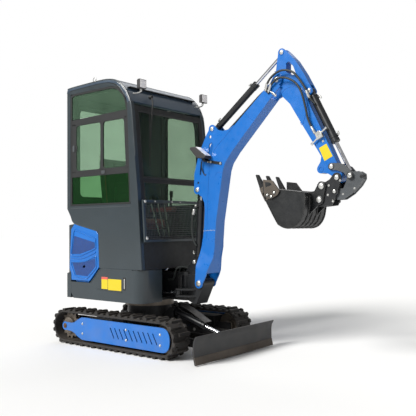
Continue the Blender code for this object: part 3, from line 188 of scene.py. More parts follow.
def glass_look(name, tint, body, reflect):
    """Tinted glass: see-through, with a glossy face that grows towards grazing."""
    made = bpy.data.materials.new(name)
    made.use_nodes = True
    tree = made.node_tree
    shader = tree.nodes["Principled BSDF"]
    # The body colour gives the glass a flat diffuse face; on the clear side panes it is lightened
    # as a painted reflection.
    shader.inputs["Base Color"].default_value = (*body, 1)
    shader.inputs["Roughness"].default_value = 0.04
    shader.inputs["Coat Weight"].default_value = 0.5
    clear = node(tree, "BsdfTransparent", Color=(*tint, 1))
    edge = node(tree, "LayerWeight", Blend=0.5).outputs["Facing"]
    coords = node(tree, "TexCoord").outputs["Object"]
    share = ranged(tree, edge, 0.35, 1.0, reflect, 0.9)
    smear = ranged(tree, noise(tree, coords, 6.0, 3), 0.3, 0.7, 0.85, 1.15)
    mix = node(tree, "MixShader")
    tree.links.new(product(tree, share, smear), mix.inputs[0])
    tree.links.new(clear.outputs[0], mix.inputs[1])
    tree.links.new(shader.outputs[0], mix.inputs[2])
    tree.links.new(mix.outputs[0], tree.nodes["Material Output"].inputs["Surface"])
    return made


def woven_look(name, colour, thread, sheen):
    """Woven cloth: crossed threads in relief, with a soft sheen."""
    made = look(name, colour, 0.85, vary=0.18, grain=300, bump=0.2)
    tree = made.node_tree
    shader = tree.nodes["Principled BSDF"]
    place = node(tree, "TexCoord").outputs["Object"]
    weave = []
    for direction in ("Y", "DIAGONAL"):
        wave = node(tree, "TexWave", {"bands_direction": direction}, Vector=place,
                    Scale=1 / thread, Distortion=0.6)
        weave.append(wave.outputs["Fac"])
    relief = node(tree, "Bump", Height=product(tree, *weave), Strength=0.6, Distance=0.001)
    tree.links.new(relief.outputs["Normal"], shader.inputs["Normal"])
    shader.inputs["Sheen Weight"].default_value = sheen
    return made


def mesh_look(name, colour, hole, pitch):
    """Painted expanded mesh: holes in rows on a painted sheet, their near-black colour painted
    shade for the dark space behind.
    """
    made = look(name, colour, 0.45, vary=0.1)
    tree = made.node_tree
    shader = tree.nodes["Principled BSDF"]
    place = node(tree, "TexCoord").outputs["Object"]
    cells = node(tree, "TexVoronoi", {"feature": "F1"}, Vector=place, Scale=1 / pitch,
                 Randomness=0.15)
    # Painted shade: the holes get a near-black colour for the dark space behind the mesh.
    hole_shade = ranged(tree, cells.outputs["Distance"], 0.30, 0.45, 1.0, 0.0)
    old = shader.inputs["Base Color"].links[0].from_socket
    tree.links.new(mixed(tree, hole_shade, old, hole), shader.inputs["Base Color"])
    relief = node(tree, "Bump", {"invert": True}, Height=hole_shade, Strength=0.8, Distance=0.002)
    tree.links.new(relief.outputs["Normal"], shader.inputs["Normal"])
    return made


# The lighter blue edge tint on this enamel is a painted edge highlight.
BLUE = look("blue enamel", (0.003, 0.130, 0.480), 0.32, vary=0.05, grain=900, bump=0.03,
            coat=0.15, wear_and_highlight=0.08, worn=(0.10, 0.22, 0.50))
BLUE_LOW = look("blue enamel near the ground", (0.006, 0.134, 0.480), 0.38, vary=0.07, grain=600,
                bump=0.04, coat=0.2, dirt=0.14, dust=0.1)
# The lighter grey edge tint on this enamel is a painted edge highlight, seen most along the skirt's
# top edge.
GREY = look("charcoal enamel", (0.023, 0.034, 0.041), 0.36, vary=0.08, grain=1100, bump=0.06,
            coat=0.25, wear_and_highlight=0.12, worn=(0.10, 0.12, 0.13))
ROOF = look("slate enamel", (0.040, 0.064, 0.096), 0.34, vary=0.08, grain=1100, bump=0.05,
            coat=0.35)
BLACK = look("black enamel", (0.009, 0.010, 0.012), 0.36, vary=0.15, grain=500, bump=0.10,
             wear_and_highlight=0.30, worn=(0.12, 0.12, 0.12))
FRAME_BLACK = look("dusty black enamel", (0.014, 0.015, 0.017), 0.46, vary=0.2, grain=260,
                   bump=0.20, dust=0.10, dirt=0.08, wear_and_highlight=0.35, worn=(0.13, 0.12, 0.11))
BUCKET = look("scuffed black enamel", (0.007, 0.008, 0.009), 0.36, vary=0.40, grain=120,
              bump=0.25, dust=0.03, wear_and_highlight=0.55, worn=(0.15, 0.14, 0.13),
              dust_colour=(0.09, 0.08, 0.07))
WORN = look("worn cutting steel", (0.085, 0.070, 0.056), 0.50, metallic=0.35, vary=0.35,
            grain=140, bump=0.4, wear_and_highlight=0.6, worn=(0.36, 0.33, 0.30))
LINK = look("grey link enamel", (0.062, 0.069, 0.076), 0.38, vary=0.12, grain=300, bump=0.12,
            wear_and_highlight=0.3, worn=(0.20, 0.19, 0.18))
RUBBER = look("track rubber", (0.018, 0.016, 0.015), 0.72, vary=0.3, grain=180, bump=0.35,
              dust=0.30, dirt=0.10, dust_colour=(0.12, 0.10, 0.08))
SEAL = look("window seal", (0.009, 0.010, 0.011), 0.55, vary=0.15, grain=500, bump=0.15)
HOSE = look("hose rubber", (0.020, 0.024, 0.023), 0.48, vary=0.2, grain=1200, bump=0.35)
CHROME = look("chromed rod", (0.72, 0.73, 0.76), 0.12, metallic=1.0, vary=0.03, grain=900,
              bump=0.01)
ZINC = look("zinc plate", (0.62, 0.62, 0.60), 0.30, metallic=0.85, vary=0.12, grain=400,
            bump=0.08)
STEEL = look("bare steel", (0.22, 0.19, 0.16), 0.45, metallic=0.7, vary=0.3, grain=160, bump=0.3,
             dirt=0.4)
BRASS_BROWN = look("rusty hub steel", (0.16, 0.085, 0.040), 0.55, metallic=0.5, vary=0.35,
                   grain=160, bump=0.4)
PLASTIC = look("grained plastic", (0.018, 0.019, 0.021), 0.55, vary=0.15, grain=900, bump=0.45)
YELLOW = look("yellow sticker film", (0.66, 0.50, 0.004), 0.38, vary=0.03, grain=900, bump=0.01,
              coat=0.3)
PINK = look("red sticker film", (0.62, 0.10, 0.07), 0.38, vary=0.03, grain=900, bump=0.01,
            coat=0.3)
ENGINE = look("engine iron", (0.060, 0.065, 0.070), 0.55, metallic=0.4, vary=0.2, grain=200,
              bump=0.35)
# The clear lens is painted near white: a painted highlight for the bright reflector glare behind
# it.
LENS = look("clear lens", (0.88, 0.86, 0.87), 0.16, metallic=0.10, vary=0.2, grain=250, bump=0.9,
            coat=0.8)
LAMP_CASE = look("lamp case", (0.060, 0.058, 0.060), 0.42, metallic=0.5, vary=0.12, grain=700,
                 bump=0.15)
SEAT_BLACK = woven_look("black seat cloth", (0.030, 0.026, 0.028), 0.004, 0.3)
SEAT_RED = woven_look("red seat cloth", (0.30, 0.020, 0.018), 0.004, 0.35)
# Its green body colour is partly the glass's tint and partly a painted reflection of green
# surroundings.
CLEAR_GLASS = glass_look("green glass", (0.73, 0.83, 0.74), (0.13, 0.22, 0.15), 0.24)
DARK_GLASS = glass_look("dark green glass", (0.52, 0.74, 0.53), (0.020, 0.090, 0.026), 0.18)
SCREEN_GLASS = glass_look("windscreen glass", (0.84, 0.90, 0.84), (0.10, 0.14, 0.11), 0.10)
# The near-black hole colour is painted shade, for the dark space seen through the mesh.
VENT_MESH = mesh_look("blue vent mesh", (0.004, 0.046, 0.215), (0.001, 0.008, 0.036), 0.0085)


# ---------------------------------------------------------------- shapes

class Shape:
    """A mesh in the making, drawn in the machine's frame."""

    def __init__(self):
        self.mesh = bmesh.new()

    def prism(self, points, offset):
        """A flat outline of 3-D points, extruded by the offset."""
        low = [self.mesh.verts.new(p) for p in points]
        high = [self.mesh.verts.new(Vector(p) + Vector(offset)) for p in points]
        self.mesh.faces.new(low[::-1])
        self.mesh.faces.new(high)
        for i, corner in enumerate(low):
            after = (i + 1) % len(low)
            self.mesh.faces.new([corner, low[after], high[after], high[i]])
        return self

    def plate(self, outline, y0, y1):
        """An (x, z) outline between two planes of Y."""
        return self.prism([(x, y0, z) for x, z in outline], (0, y1 - y0, 0))

    def slab(self, outline, z0, z1):
        """An (x, y) outline between two heights."""
        return self.prism([(x, y, z0) for x, y in outline], (0, 0, z1 - z0))

    def box(self, x, y, z):
        return self.slab([(x[0], y[0]), (x[1], y[0]), (x[1], y[1]), (x[0], y[1])], *z)

    def ring(self, outer, inner, y0, y1):
        """A flat frame between two (x, z) outlines that have the same number of corners."""
        rows = [[self.mesh.verts.new((x, y, z)) for x, z in line]
                for line, y in ((outer, y0), (outer, y1), (inner, y1), (inner, y0))]
        count = len(outer)
        for one, two in zip(rows, rows[1:] + rows[:1]):
            for i in range(count):
                j = (i + 1) % count
                self.mesh.faces.new([one[i], one[j], two[j], two[i]])
        return self

    def turned(self, start, end, profile, sides=20):
        """A round form about the line from start to end: (metres from start, radius) rows."""
        start, end = Vector(start), Vector(end)
        along = (end - start).normalized()
        side = along.orthogonal().normalized()
        other = along.cross(side)
        rows = []
        for distance, radius in profile:
            centre = start + along * distance
            if radius < 1e-5:
                rows.append([self.mesh.verts.new(centre)])
                continue
            rows.append([self.mesh.verts.new(centre + radius * (
                side * math.cos(2 * math.pi * i / sides)
                + other * math.sin(2 * math.pi * i / sides))) for i in range(sides)])
        for one, two in zip(rows, rows[1:]):
            self.join(one, two)
        for row in (rows[0], rows[-1]):
            if len(row) > 2:
                self.mesh.faces.new(row)
        return self

    def join(self, one, two):
        count = max(len(one), len(two))
        for i in range(count):
            j = (i + 1) % count
            corners = [one[i % len(one)], one[j % len(one)], two[j % len(two)], two[i % len(two)]]
            unique = list(dict.fromkeys(corners))
            if len(unique) > 2:
                self.mesh.faces.new(unique)

    def across(self, centre, profile, sides=20, side=-1):
        """A round form that points out to one side, at an (x, z) centre: (|y|, radius) rows."""
        return self.turned((centre[0], 0, centre[1]), (centre[0], side, centre[1]), profile, sides)

    def swept(self, points, radius, sides=10, steps=5, closed_ends=True):
        """A tube along a smooth line through the points."""
        line = smooth_line(points, steps)
        before = (line[1] - line[0]).normalized()
        side = before.orthogonal().normalized()
        rows = []
        for i, place in enumerate(line):
            ahead = line[min(i + 1, len(line) - 1)] - line[max(i - 1, 0)]
            ahead.normalize()
            side = (side - ahead * side.dot(ahead)).normalized()
            other = ahead.cross(side)
            rows.append([self.mesh.verts.new(place + radius * (
                side * math.cos(2 * math.pi * k / sides)
                + other * math.sin(2 * math.pi * k / sides))) for k in range(sides)])
        for one, two in zip(rows, rows[1:]):
            self.join(one, two)
        if closed_ends:
            self.mesh.faces.new(rows[0])
            self.mesh.faces.new(rows[-1])
        return self

    def drawn(self, points, y, radius, sides, steps):
        """A tube through (x, z) points in one plane of Y."""
        return self.swept([(x, y, z) for x, z in points], radius, sides, steps)

    def skin(self, outline, side, low, high):
        """An (x, z) outline on a side wall, from low to high metres out from the wall's face."""
        return self.plate(outline, *on_wall(side, low, high))

    def bolt(self, place, direction, radius, height=None):
        """A hexagon head on its washer."""
        height = height or radius * 0.9
        place, direction = Vector(place), Vector(direction)
        self.turned(place, place + direction,
                    [(0, radius * 1.35), (radius * 0.25, radius * 1.35)], 16)
        self.turned(place, place + direction, [(radius * 0.2, radius), (height * 0.85, radius),
                                               (height, radius * 0.82)], 6)
        return self


def on_wall(side, low, high):
    """Two Y values, low and high metres out from a side wall's face, in rising order."""
    return sorted((side * HALF_WIDTH + side * low, side * HALF_WIDTH + side * high))


def smooth_line(points, steps):
    """A Catmull-Rom line through the points."""
    points = [Vector(p) for p in points]
    line = []
    for i in range(len(points) - 1):
        a = points[max(i - 1, 0)]
        b, c = points[i], points[i + 1]
        d = points[min(i + 2, len(points) - 1)]
        for step in range(steps):
            t = step / steps
            line.append(0.5 * ((2 * b) + (c - a) * t + (2 * a - 5 * b + 4 * c - d) * t * t
                               + (3 * b - a - 3 * c + d) * t ** 3))
    line.append(points[-1])
    return line


def emit(shape, name, body, material, bevel=0.0, replaces=(), blend=None, sharp=40):
    """Makes the shape a piece of the visual model: hangs it on the body it rides on, or leaves it
    loose in place when it has a blend, and hides the CAD parts it replaces.
    """
    mesh = shape.mesh
    bmesh.ops.recalc_face_normals(mesh, faces=mesh.faces)
    bmesh.ops.translate(mesh, verts=mesh.verts, vec=(SLEW_X, 0, 0))
    data = bpy.data.meshes.new(name)
    mesh.to_mesh(data)
    mesh.free()
    piece = bpy.data.objects.new(name, data)
    bpy.context.scene.collection.objects.link(piece)
    data.materials.append(material)
    data.shade_smooth()
    data.set_sharp_from_angle(angle=math.radians(sharp))
    if bevel:
        soften(piece, bevel)
    if blend:
        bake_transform(piece)
    else:
        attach(piece, body)
    if replaces:
        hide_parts(*replaces)
    return piece


def soften(piece, width, angle=35):
    """Rounds a piece's edges, and keeps its flat faces flat."""
    bevel = piece.modifiers.new("Rounded edges", "BEVEL")
    bevel.width = width
    bevel.segments = 2
    bevel.limit_method = "ANGLE"
    bevel.angle_limit = math.radians(angle)
    bevel.harden_normals = False
    normals = piece.modifiers.new("Flat faces", "WEIGHTED_NORMAL")
    normals.keep_sharp = True


def dress(name, material, bevel, angle=35):
    """Gives a CAD node its finish and its rounded edges."""
    piece = NODES[name]
    data = piece.data
    if "custom_normal" in data.attributes:
        data.attributes.remove(data.attributes["custom_normal"])
    data.shade_smooth()
    data.materials.clear()
    data.materials.append(material)
    weld = piece.modifiers.new("Welded corners", "WELD")
    weld.merge_threshold = 0.0001
    soften(piece, bevel, angle)


def front_x(z):
    """The cab's front line at a height."""
    for (x0, z0), (x1, z1) in zip(FRONT_LINE, FRONT_LINE[1:]):
        if z0 <= z <= z1:
            return x0 + (x1 - x0) * (z - z0) / (z1 - z0)
    return FRONT_LINE[-1][0]


def arc(centre, radius, first, last, steps):
    """Points on a circle, from one angle to another, in degrees."""
    turns = [math.radians(first + (last - first) * i / steps) for i in range(steps + 1)]
    return [(centre[0] + radius * math.cos(t), centre[1] + radius * math.sin(t)) for t in turns]


def rounded(x0, x1, z0, z1, radius, steps=4):
    """A rectangle with round corners."""
    return (arc((x1 - radius, z1 - radius), radius, 0, 90, steps)
            + arc((x0 + radius, z1 - radius), radius, 90, 180, steps)
            + arc((x0 + radius, z0 + radius), radius, 180, 270, steps)
            + arc((x1 - radius, z0 + radius), radius, 270, 360, steps))


def strut(start, end, width):
    """The corners of a straight bar of this width between two (x, z) points."""
    dx, dz = end[0] - start[0], end[1] - start[1]
    span = math.hypot(dx, dz)
    nx, nz = -dz / span * width / 2, dx / span * width / 2
    return [(start[0] + nx, start[1] + nz), (end[0] + nx, end[1] + nz),
            (end[0] - nx, end[1] - nz), (start[0] - nx, start[1] - nz)]


def resampled(outline, count):
    """A closed outline as this many points, evenly spaced along it."""
    loop = [Vector(p) for p in outline] + [Vector(outline[0])]
    lengths = [0.0]
    for a, b in zip(loop, loop[1:]):
        lengths.append(lengths[-1] + (b - a).length)
    points = []
    at = 0
    for i in range(count):
        wanted = lengths[-1] * i / count
        while lengths[at + 1] < wanted:
            at += 1
        share = (wanted - lengths[at]) / max(lengths[at + 1] - lengths[at], 1e-9)
        points.append(tuple(loop[at].lerp(loop[at + 1], share)))
    return points


# ---------------------------------------------------------------- CAD nodes

CAD_FINISHES = (  # material, width of the rounded edges, nodes
    (BLUE, 0.0022, ("boom", "arm")),
    (BLUE, 0.006, ("right_vent_cover", "left_vent_cover")),
    (BLUE_LOW, 0.0022, ("right_side_cover", "left_side_cover")),
    (GREY, 0.004, ("counterweight", "engine_hood", "cab_door", "cab_right_wall", "cab_left_wall",
                   "cab_rear_wall")),
    (GREY, 0.006, ("right_skirt", "left_skirt")),
    (SEAL, 0.003, ("cab_front_frame",)),
    (FRAME_BLACK, 0.0025, ("centre_frame", "right_track_frame", "left_track_frame", "dozer_blade",
                           "right_blade_arm", "left_blade_arm", "deck")),
    (BLACK, 0.003, ("swing_post",)),
    (LINK, 0.002, ("guide_link", "bucket_link")),
    (BLACK, 0.002, ("quick_coupler",)),
    (BUCKET, 0.002, ("bucket",)),
    (STEEL, 0.002, ("right_sprocket", "left_sprocket", "right_idler", "left_idler",
                    "slew_bearing")),
    (PLASTIC, 0.006, ("cab_floor", "seat_base")),
    (BLACK, 0.001, ("travel_levers",)),
)
GLAZING = (("windscreen_upper", SCREEN_GLASS), ("windscreen_lower", SCREEN_GLASS),
           ("rear_window", SCREEN_GLASS), ("door_glass", CLEAR_GLASS))


def dress_cad():
    for material, bevel, names in CAD_FINISHES:
        for name in names:
            dress(name, material, bevel)
    dress("cab_roof", ROOF, 0.006, 50)
    for name, glass in GLAZING:
        data = NODES[name].data
        data.materials.clear()
        data.materials.append(glass)


# ---------------------------------------------------------------- undercarriage

LUGS = 46
TRACK_HOSE_GAP = 0.018              # from the pair's middle line to each hose
COVER_RIM = ((-0.428, 0.1905), (-0.336, 0.2365), (-0.2, 0.2370), (0.1, 0.2370), (0.45, 0.2370),
             (0.600, 0.2370), (0.640, 0.2210), (0.661, 0.191), (0.6675, 0.146), (0.661, 0.100),
             (0.640, 0.071), (0.600, 0.0550), (0.45, 0.0550), (0.1, 0.0550), (-0.2, 0.0550),
             (-0.336, 0.0550), (-0.428, 0.0990))


def loop_point(distance, depth):
    """A place on a track's loop: how far along it, and how deep below its outer face."""
    rear, front = WHEELS_X
    radius = TRACK_RADIUS
    run = front - rear
    bend = math.pi * radius
    distance %= 2 * (run + bend)
    reach = radius - depth
    if distance < run:
        return (rear + distance, radius + reach)
    if distance < run + bend:
        turn = math.pi / 2 - (distance - run) / radius
        return (front + reach * math.cos(turn), radius + reach * math.sin(turn))
    if distance < 2 * run + bend:
        return (front - (distance - run - bend), radius - reach)
    turn = -math.pi / 2 - (distance - 2 * run - bend) / radius
    return (rear + reach * math.cos(turn), radius + reach * math.sin(turn))


def track(side, word):
    """A rubber track: its belt, staggered grousers, and the cleats that show between them."""
    length = 2 * (WHEELS_X[1] - WHEELS_X[0] + math.pi * TRACK_RADIUS)
    inner, outer = TRACK_INNER_Y, TRACK_OUTER_Y
    shape = Shape()
    section = [(inner + 0.004, 0.034), (inner, 0.030), (inner, 0.022), (inner + 0.006, 0.0165),
               (outer - 0.010, 0.0165), (outer - 0.003, 0.0205), (outer - 0.003, 0.030),
               (outer - 0.007, 0.034)]
    steps = LUGS * 4
    rows = []
    for i in range(steps):
        row = []
        for y, depth in section:
            x, z = loop_point(length * i / steps, depth)
            row.append(shape.mesh.verts.new((x, side * y, z)))
        rows.append(row)
    for one, two in zip(rows, rows[1:] + rows[:1]):
        for k in range(len(section)):
            j = (k + 1) % len(section)
            shape.mesh.faces.new([one[k], one[j], two[j], two[k]])
    pitch = length / LUGS
    middle = (inner + outer) / 2
    for number in range(LUGS):
        centre = number * pitch
        outside = number % 2 == 0
        near, far = (middle - 0.030, outer) if outside else (inner, middle + 0.030)
        grouser(shape, side, centre, near, far, 0.040, 0.022, 0.0, 0.018)
        cleat_near, cleat_far = (inner, inner + 0.028) if outside else (outer - 0.030, outer)
        grouser(shape, side, centre, cleat_near, cleat_far, 0.034, 0.024, 0.006, 0.020)
        for y0, y1 in ((outer - 0.012, outer - 0.0015), (inner + 0.0015, inner + 0.010)):
            grouser(shape, side, centre, y0, y1, 0.044, 0.040, 0.010, 0.031)
        stud_y = outer - 0.052 if outside else inner + 0.050
        grouser(shape, side, centre + pitch / 2, stud_y - 0.014, stud_y + 0.014, 0.020, 0.014,
                0.011, 0.018)
    emit(shape, f"{word}_rubber_track", "undercarriage", RUBBER,
         bevel=0.0016, replaces=(f"{word}_track",), sharp=50)


def grouser(shape, side, centre, y0, y1, foot, crest, top, bottom):
    """A tapered bar across the belt, from its crest's depth down to its foot's."""
    corners = []
    for depth, half, inset in ((bottom, foot / 2, 0.0), (top, crest / 2, 0.004)):
        for along, y in ((-half, y0 + inset), (half, y0 + inset), (half, y1 - inset / 2),
                         (-half, y1 - inset / 2)):
            x, z = loop_point(centre + along, depth)
            corners.append(shape.mesh.verts.new((x, side * y, z)))
    for face in ((0, 1, 2, 3), (4, 5, 6, 7), (0, 1, 5, 4), (1, 2, 6, 5), (2, 3, 7, 6),
                 (3, 0, 4, 7)):
        shape.mesh.faces.new([corners[i] for i in face])


def undercarriage():
    for side, word in ((-1, "right"), (1, "left")):
        track(side, word)
        bolts = Shape()
        for x in (-0.324, 0.203, 0.572):
            for z in (0.186, 0.105):
                bolts.bolt((x, side * (COVER_Y - 0.0005), z), (0, side, 0), 0.0075, 0.007)
        emit(bolts, f"{word}_cover_bolts", "undercarriage", ZINC)
        hub = Shape()
        hub.across((WHEELS_X[0], TRACK_RADIUS),
                   [(COVER_Y - 0.012, 0.0205), (COVER_Y + 0.002, 0.0205),
                    (COVER_Y + 0.006, 0.0165), (COVER_Y + 0.006, 0.009), (COVER_Y + 0.010, 0.009),
                    (COVER_Y + 0.0105, 0.0)], side=side)
        emit(hub, f"{word}_hub_cap", "undercarriage", BRASS_BROWN)
        rim = Shape().drawn(COVER_RIM, side * (COVER_Y - 0.0005), WELD, 6, 2)
        emit(rim, f"{word}_cover_rim", "undercarriage", BLUE_LOW)
        motor = Shape()
        motor.across((WHEELS_X[0], TRACK_RADIUS),
                     [(0.200, 0.052), (0.285, 0.052), (0.292, 0.060), (0.305, 0.060)], 24, side)
        for turn in range(8):
            angle = math.pi * turn / 4
            place = (WHEELS_X[0] + 0.050 * math.cos(angle), side * 0.292,
                     TRACK_RADIUS + 0.050 * math.sin(angle))
            motor.bolt(place, (0, -side, 0), 0.005)
        emit(motor, f"{word}_travel_motor", "undercarriage", BLACK, 0.0015)
        pipes = Shape()
        for offset in (-TRACK_HOSE_GAP, TRACK_HOSE_GAP):
            pipes.swept([(-0.545, side * 0.230, 0.150 + offset),
                         (-0.500, side * 0.215, 0.165 + offset),
                         (-0.40, side * 0.190, 0.200 + offset / 2), (-0.28, side * 0.150, 0.215),
                         (-0.17, side * (0.110 + offset), 0.228), (-0.10, side * 0.080, 0.245)],
                        0.008, 10, 6)
        emit(pipes, f"{word}_travel_hoses", "undercarriage", HOSE)
        grease = Shape()
        grease.turned((0.505, side * 0.440, 0.160), (0.505, side, 0.160),
                      [(0, 0.012), (0.006, 0.012), (0.006, 0.006), (0.011, 0.006), (0.013, 0.003)])
        emit(grease, f"{word}_grease_valve", "undercarriage", ZINC)
    ring = Shape()
    for turn in range(20):
        angle = math.radians(18 * turn)
        ring.bolt((0.200 * math.cos(angle), 0.200 * math.sin(angle), 0.3365), (0, 0, 1), 0.006,
                  0.0045)
    emit(ring, "slew_ring_bolts", "undercarriage", ZINC)


def blade():
    edge = Shape()
    edge.plate([(0.9300, 0.062), (0.9442, 0.0065), (0.9400, 0.0065), (0.9240, 0.062)],
               -0.4985, 0.4985)
    emit(edge, "cutting_edge", "blade", WORN, 0.0012)
    ribs = Shape()
    for y in (-0.470, -0.33, -0.17, 0.17, 0.33, 0.470):
        ribs.plate([(0.9150, 0.045), (0.9150, 0.150), (0.935, 0.190), (0.895, 0.150),
                    (0.885, 0.060)], y - 0.004, y + 0.004)
    emit(ribs, "blade_ribs", "blade", FRAME_BLACK, 0.001)
    lip = Shape()
    lip.swept([(0.9455, -0.4985, 0.2085), (0.9455, 0.0, 0.2085), (0.9455, 0.4985, 0.2085)],
              0.0040, 8, 2)
    for y in (-0.4965, 0.4965):
        lip.swept([(0.9450, y, 0.207), (0.927, y, 0.176), (0.921, y, 0.143), (0.921, y, 0.062),
                   (0.938, y, 0.010)], 0.0030, 8, 2)
    emit(lip, "blade_edges", "blade", WORN)
    welds = Shape()
    for side in (-1, 1):
        for offset in (-0.020, 0.020):
            y = side * 0.245 + offset
            welds.swept([(0.8685, y, 0.072), (0.8685, y, 0.133)], 0.003, 6, 2)
    emit(welds, "blade_arm_welds", "blade", FRAME_BLACK)
    cover = Shape()
    cover.plate([(0.395, 0.352), (0.474, 0.325), (0.655, 0.233), (0.652, 0.227), (0.472, 0.318),
                 (0.393, 0.345)], -0.042, 0.042)
    emit(cover, "blade_cylinder_cover", "blade_barrel", FRAME_BLACK, 0.001)
    pins = Shape()
    for side in (-1, 1):
        for y in (0.245 - 0.0365, 0.245 + 0.0365):
            out = 1 if y > 0.245 else -1
            pins.bolt((0.33, side * y, 0.115), (0, side * out, 0), 0.0105, 0.008)
    emit(pins, "blade_pin_heads", "undercarriage", ZINC)


# ---------------------------------------------------------------- hydraulics

def cylinder(name, base, pin, length, barrel, rod, half, rod_body, barrel_body, rod_start,
             level=None, port_turn=(0, -1, 0)):
    """A hydraulic cylinder: a barrel with its gland, bands and eye, and a chromed rod."""
    def place(distance, offset=0.0):
        span = math.dist(base, pin)
        a = base[0] + (pin[0] - base[0]) * distance / span
        b = base[1] + (pin[1] - base[1]) * distance / span
        return Vector((a, offset, b)) if level is None else Vector((a, b, level + offset))

    full = math.dist(base, pin)
    eye = barrel * 0.85
    start = place(0)
    tube = Shape()
    tube.turned(start, place(full),
                [(0.036, barrel * 0.55), (0.037, barrel * 0.88), (0.042, barrel),
                 (0.052, barrel), (0.0525, barrel - 0.0025), (length - 0.052, barrel - 0.0025),
                 (length - 0.050, barrel), (length - 0.034, barrel),
                 (length - 0.033, barrel - 0.003), (length - 0.026, barrel - 0.003),
                 (length - 0.025, barrel + 0.0006),
                 (length - 0.003, barrel + 0.0006), (length, barrel - 0.003),
                 (length, rod + 0.0030), (length - 0.004, rod + 0.0014)], 28)
    across = Vector((0, 1, 0)) if level is None else Vector((0, 0, 1))
    tube.turned(start - across * half, start + across * half,
                [(0, eye - 0.0015), (0.0015, eye), (2 * half - 0.0015, eye),
                 (2 * half, eye - 0.0015)], 24)
    wide = eye * 0.8
    ahead = (place(1) - place(0)).normalized()
    side = ahead.cross(across)
    neck = [start + side * wide, start + side * wide * 0.9 + ahead * 0.042,
            start - side * wide * 0.9 + ahead * 0.042, start - side * wide]
    tube.prism([p - across * (half - 0.001) for p in neck], across * 2 * (half - 0.001))
    port = Vector(port_turn)
    for distance in (0.066, length - 0.042):
        centre = place(distance)
        tube.turned(centre + port * (barrel - 0.006), centre + port * (barrel + 0.1),
                    [(0, 0.0105), (0.011, 0.0105), (0.0115, 0.009)], 12)
    emit(tube, f"{name}_tube", barrel_body, BLACK, replaces=(f"{name}_barrel",),
         sharp=35)
    fittings = Shape()
    for distance, turn in ((0.066, 1), (length - 0.042, -1)):
        centre = place(distance)
        foot = centre + port * (barrel + 0.004)
        elbow = foot + port * 0.010
        fittings.turned(foot, foot + port, [(0, 0.0085), (0.007, 0.0085), (0.008, 0.006),
                                            (0.011, 0.006)], 6)
        fittings.swept([foot + port * 0.006, elbow + ahead * 0.002 * turn,
                        elbow + ahead * 0.022 * turn], 0.0055, 10, 4)
    emit(fittings, f"{name}_ports", barrel_body, ZINC)
    bar = Shape()
    radius = rod * 1.5
    bar.turned(place(rod_start), place(full), [(0, rod), (full - rod_start - radius * 0.6, rod)],
               24)
    emit(bar, f"{name}_bar", rod_body, CHROME, replaces=(f"{name}_rod",))
    end = Shape()
    thick = half - 0.0045
    centre = place(full)
    end.turned(centre - across * thick, centre + across * thick,
               [(0, radius - 0.001), (0.001, radius), (2 * thick - 0.001, radius),
                (2 * thick, radius - 0.001)], 24)
    end.turned(place(full - radius * 1.9), place(full), [(0, rod * 1.02), (0.002, rod * 1.10),
                                                        (radius * 1.1, rod * 1.12)], 20)
    emit(end, f"{name}_eye", rod_body, BLACK)


PIN_HEADS = (  # body, centre, the plate's face, radius
    ("boom", FOOT, 0.0895, 0.0235),
    ("swing_post", BOOM_CYLINDER[0], 0.0595, 0.0165),
    ("boom", BOOM_CYLINDER[1], 0.0560, 0.0185),
    ("boom", ARM_CYLINDER[0], 0.0560, 0.0175),
    ("boom", ARM_PIVOT, 0.0560, 0.0205),
    ("arm", ARM_CYLINDER[1], 0.0345, 0.0165),
    ("arm", BUCKET_CYLINDER[0], 0.0345, 0.0165),
    ("guide_link", GUIDE_PIVOT, 0.0495, 0.0170),
    ("guide_link", LINK_JOINT, 0.0495, 0.0170),
    ("bucket", ARM_TIP, 0.0495, 0.0175),
    ("bucket", COUPLER_LINK_PIN, 0.0495, 0.0135),
    ("bucket", BUCKET_PINS[0], 0.0635, 0.0215),
    ("bucket", BUCKET_PINS[1], 0.0635, 0.0205),
)


def pin_heads():
    """The domed heads of the pivot pins, each on a dark boss."""
    for number, (body, centre, face, radius) in enumerate(PIN_HEADS):
        head, boss = Shape(), Shape()
        for side in (-1, 1):
            boss.across(centre, [(face - 0.002, radius * 1.35), (face + 0.002, radius * 1.35),
                                 (face + 0.0035, radius * 1.22)], 28, side)
            head.across(centre, [(face, radius), (face + 0.0045, radius),
                                 (face + 0.0070, radius * 0.86), (face + 0.0085, radius * 0.55),
                                 (face + 0.0090, 0.0)], 24, side)
        painted = body in ("boom", "arm")
        emit(boss, f"pin_boss_{number}", body, BLUE if painted else BLACK)
        emit(head, f"pin_head_{number}", body, ZINC)


def hose(name, points, radius, body, blend=None, ends=(None, None), cuff=0.030):
    """A hose with its crimped end fittings, which ride on their own bodies."""
    pipe = Shape().swept(points, radius, 12, 7)
    emit(pipe, name, body, HOSE, blend=blend)
    line = [Vector(p) for p in points]
    for word, tip, inward, rides in (("a", line[0], line[1], ends[0]),
                                     ("b", line[-1], line[-2], ends[1])):
        if rides:
            fitting = Shape().turned(tip, inward, [
                (-0.014, radius * 0.95), (-0.006, radius * 0.95), (-0.006, radius * 1.45),
                (0.002, radius * 1.45), (0.002, radius * 1.18), (0.005, radius * 1.30),
                (cuff * 0.6, radius * 1.30), (cuff, radius * 1.12)], 12)
            emit(fitting, f"{name}_end_{word}", rides, ZINC)


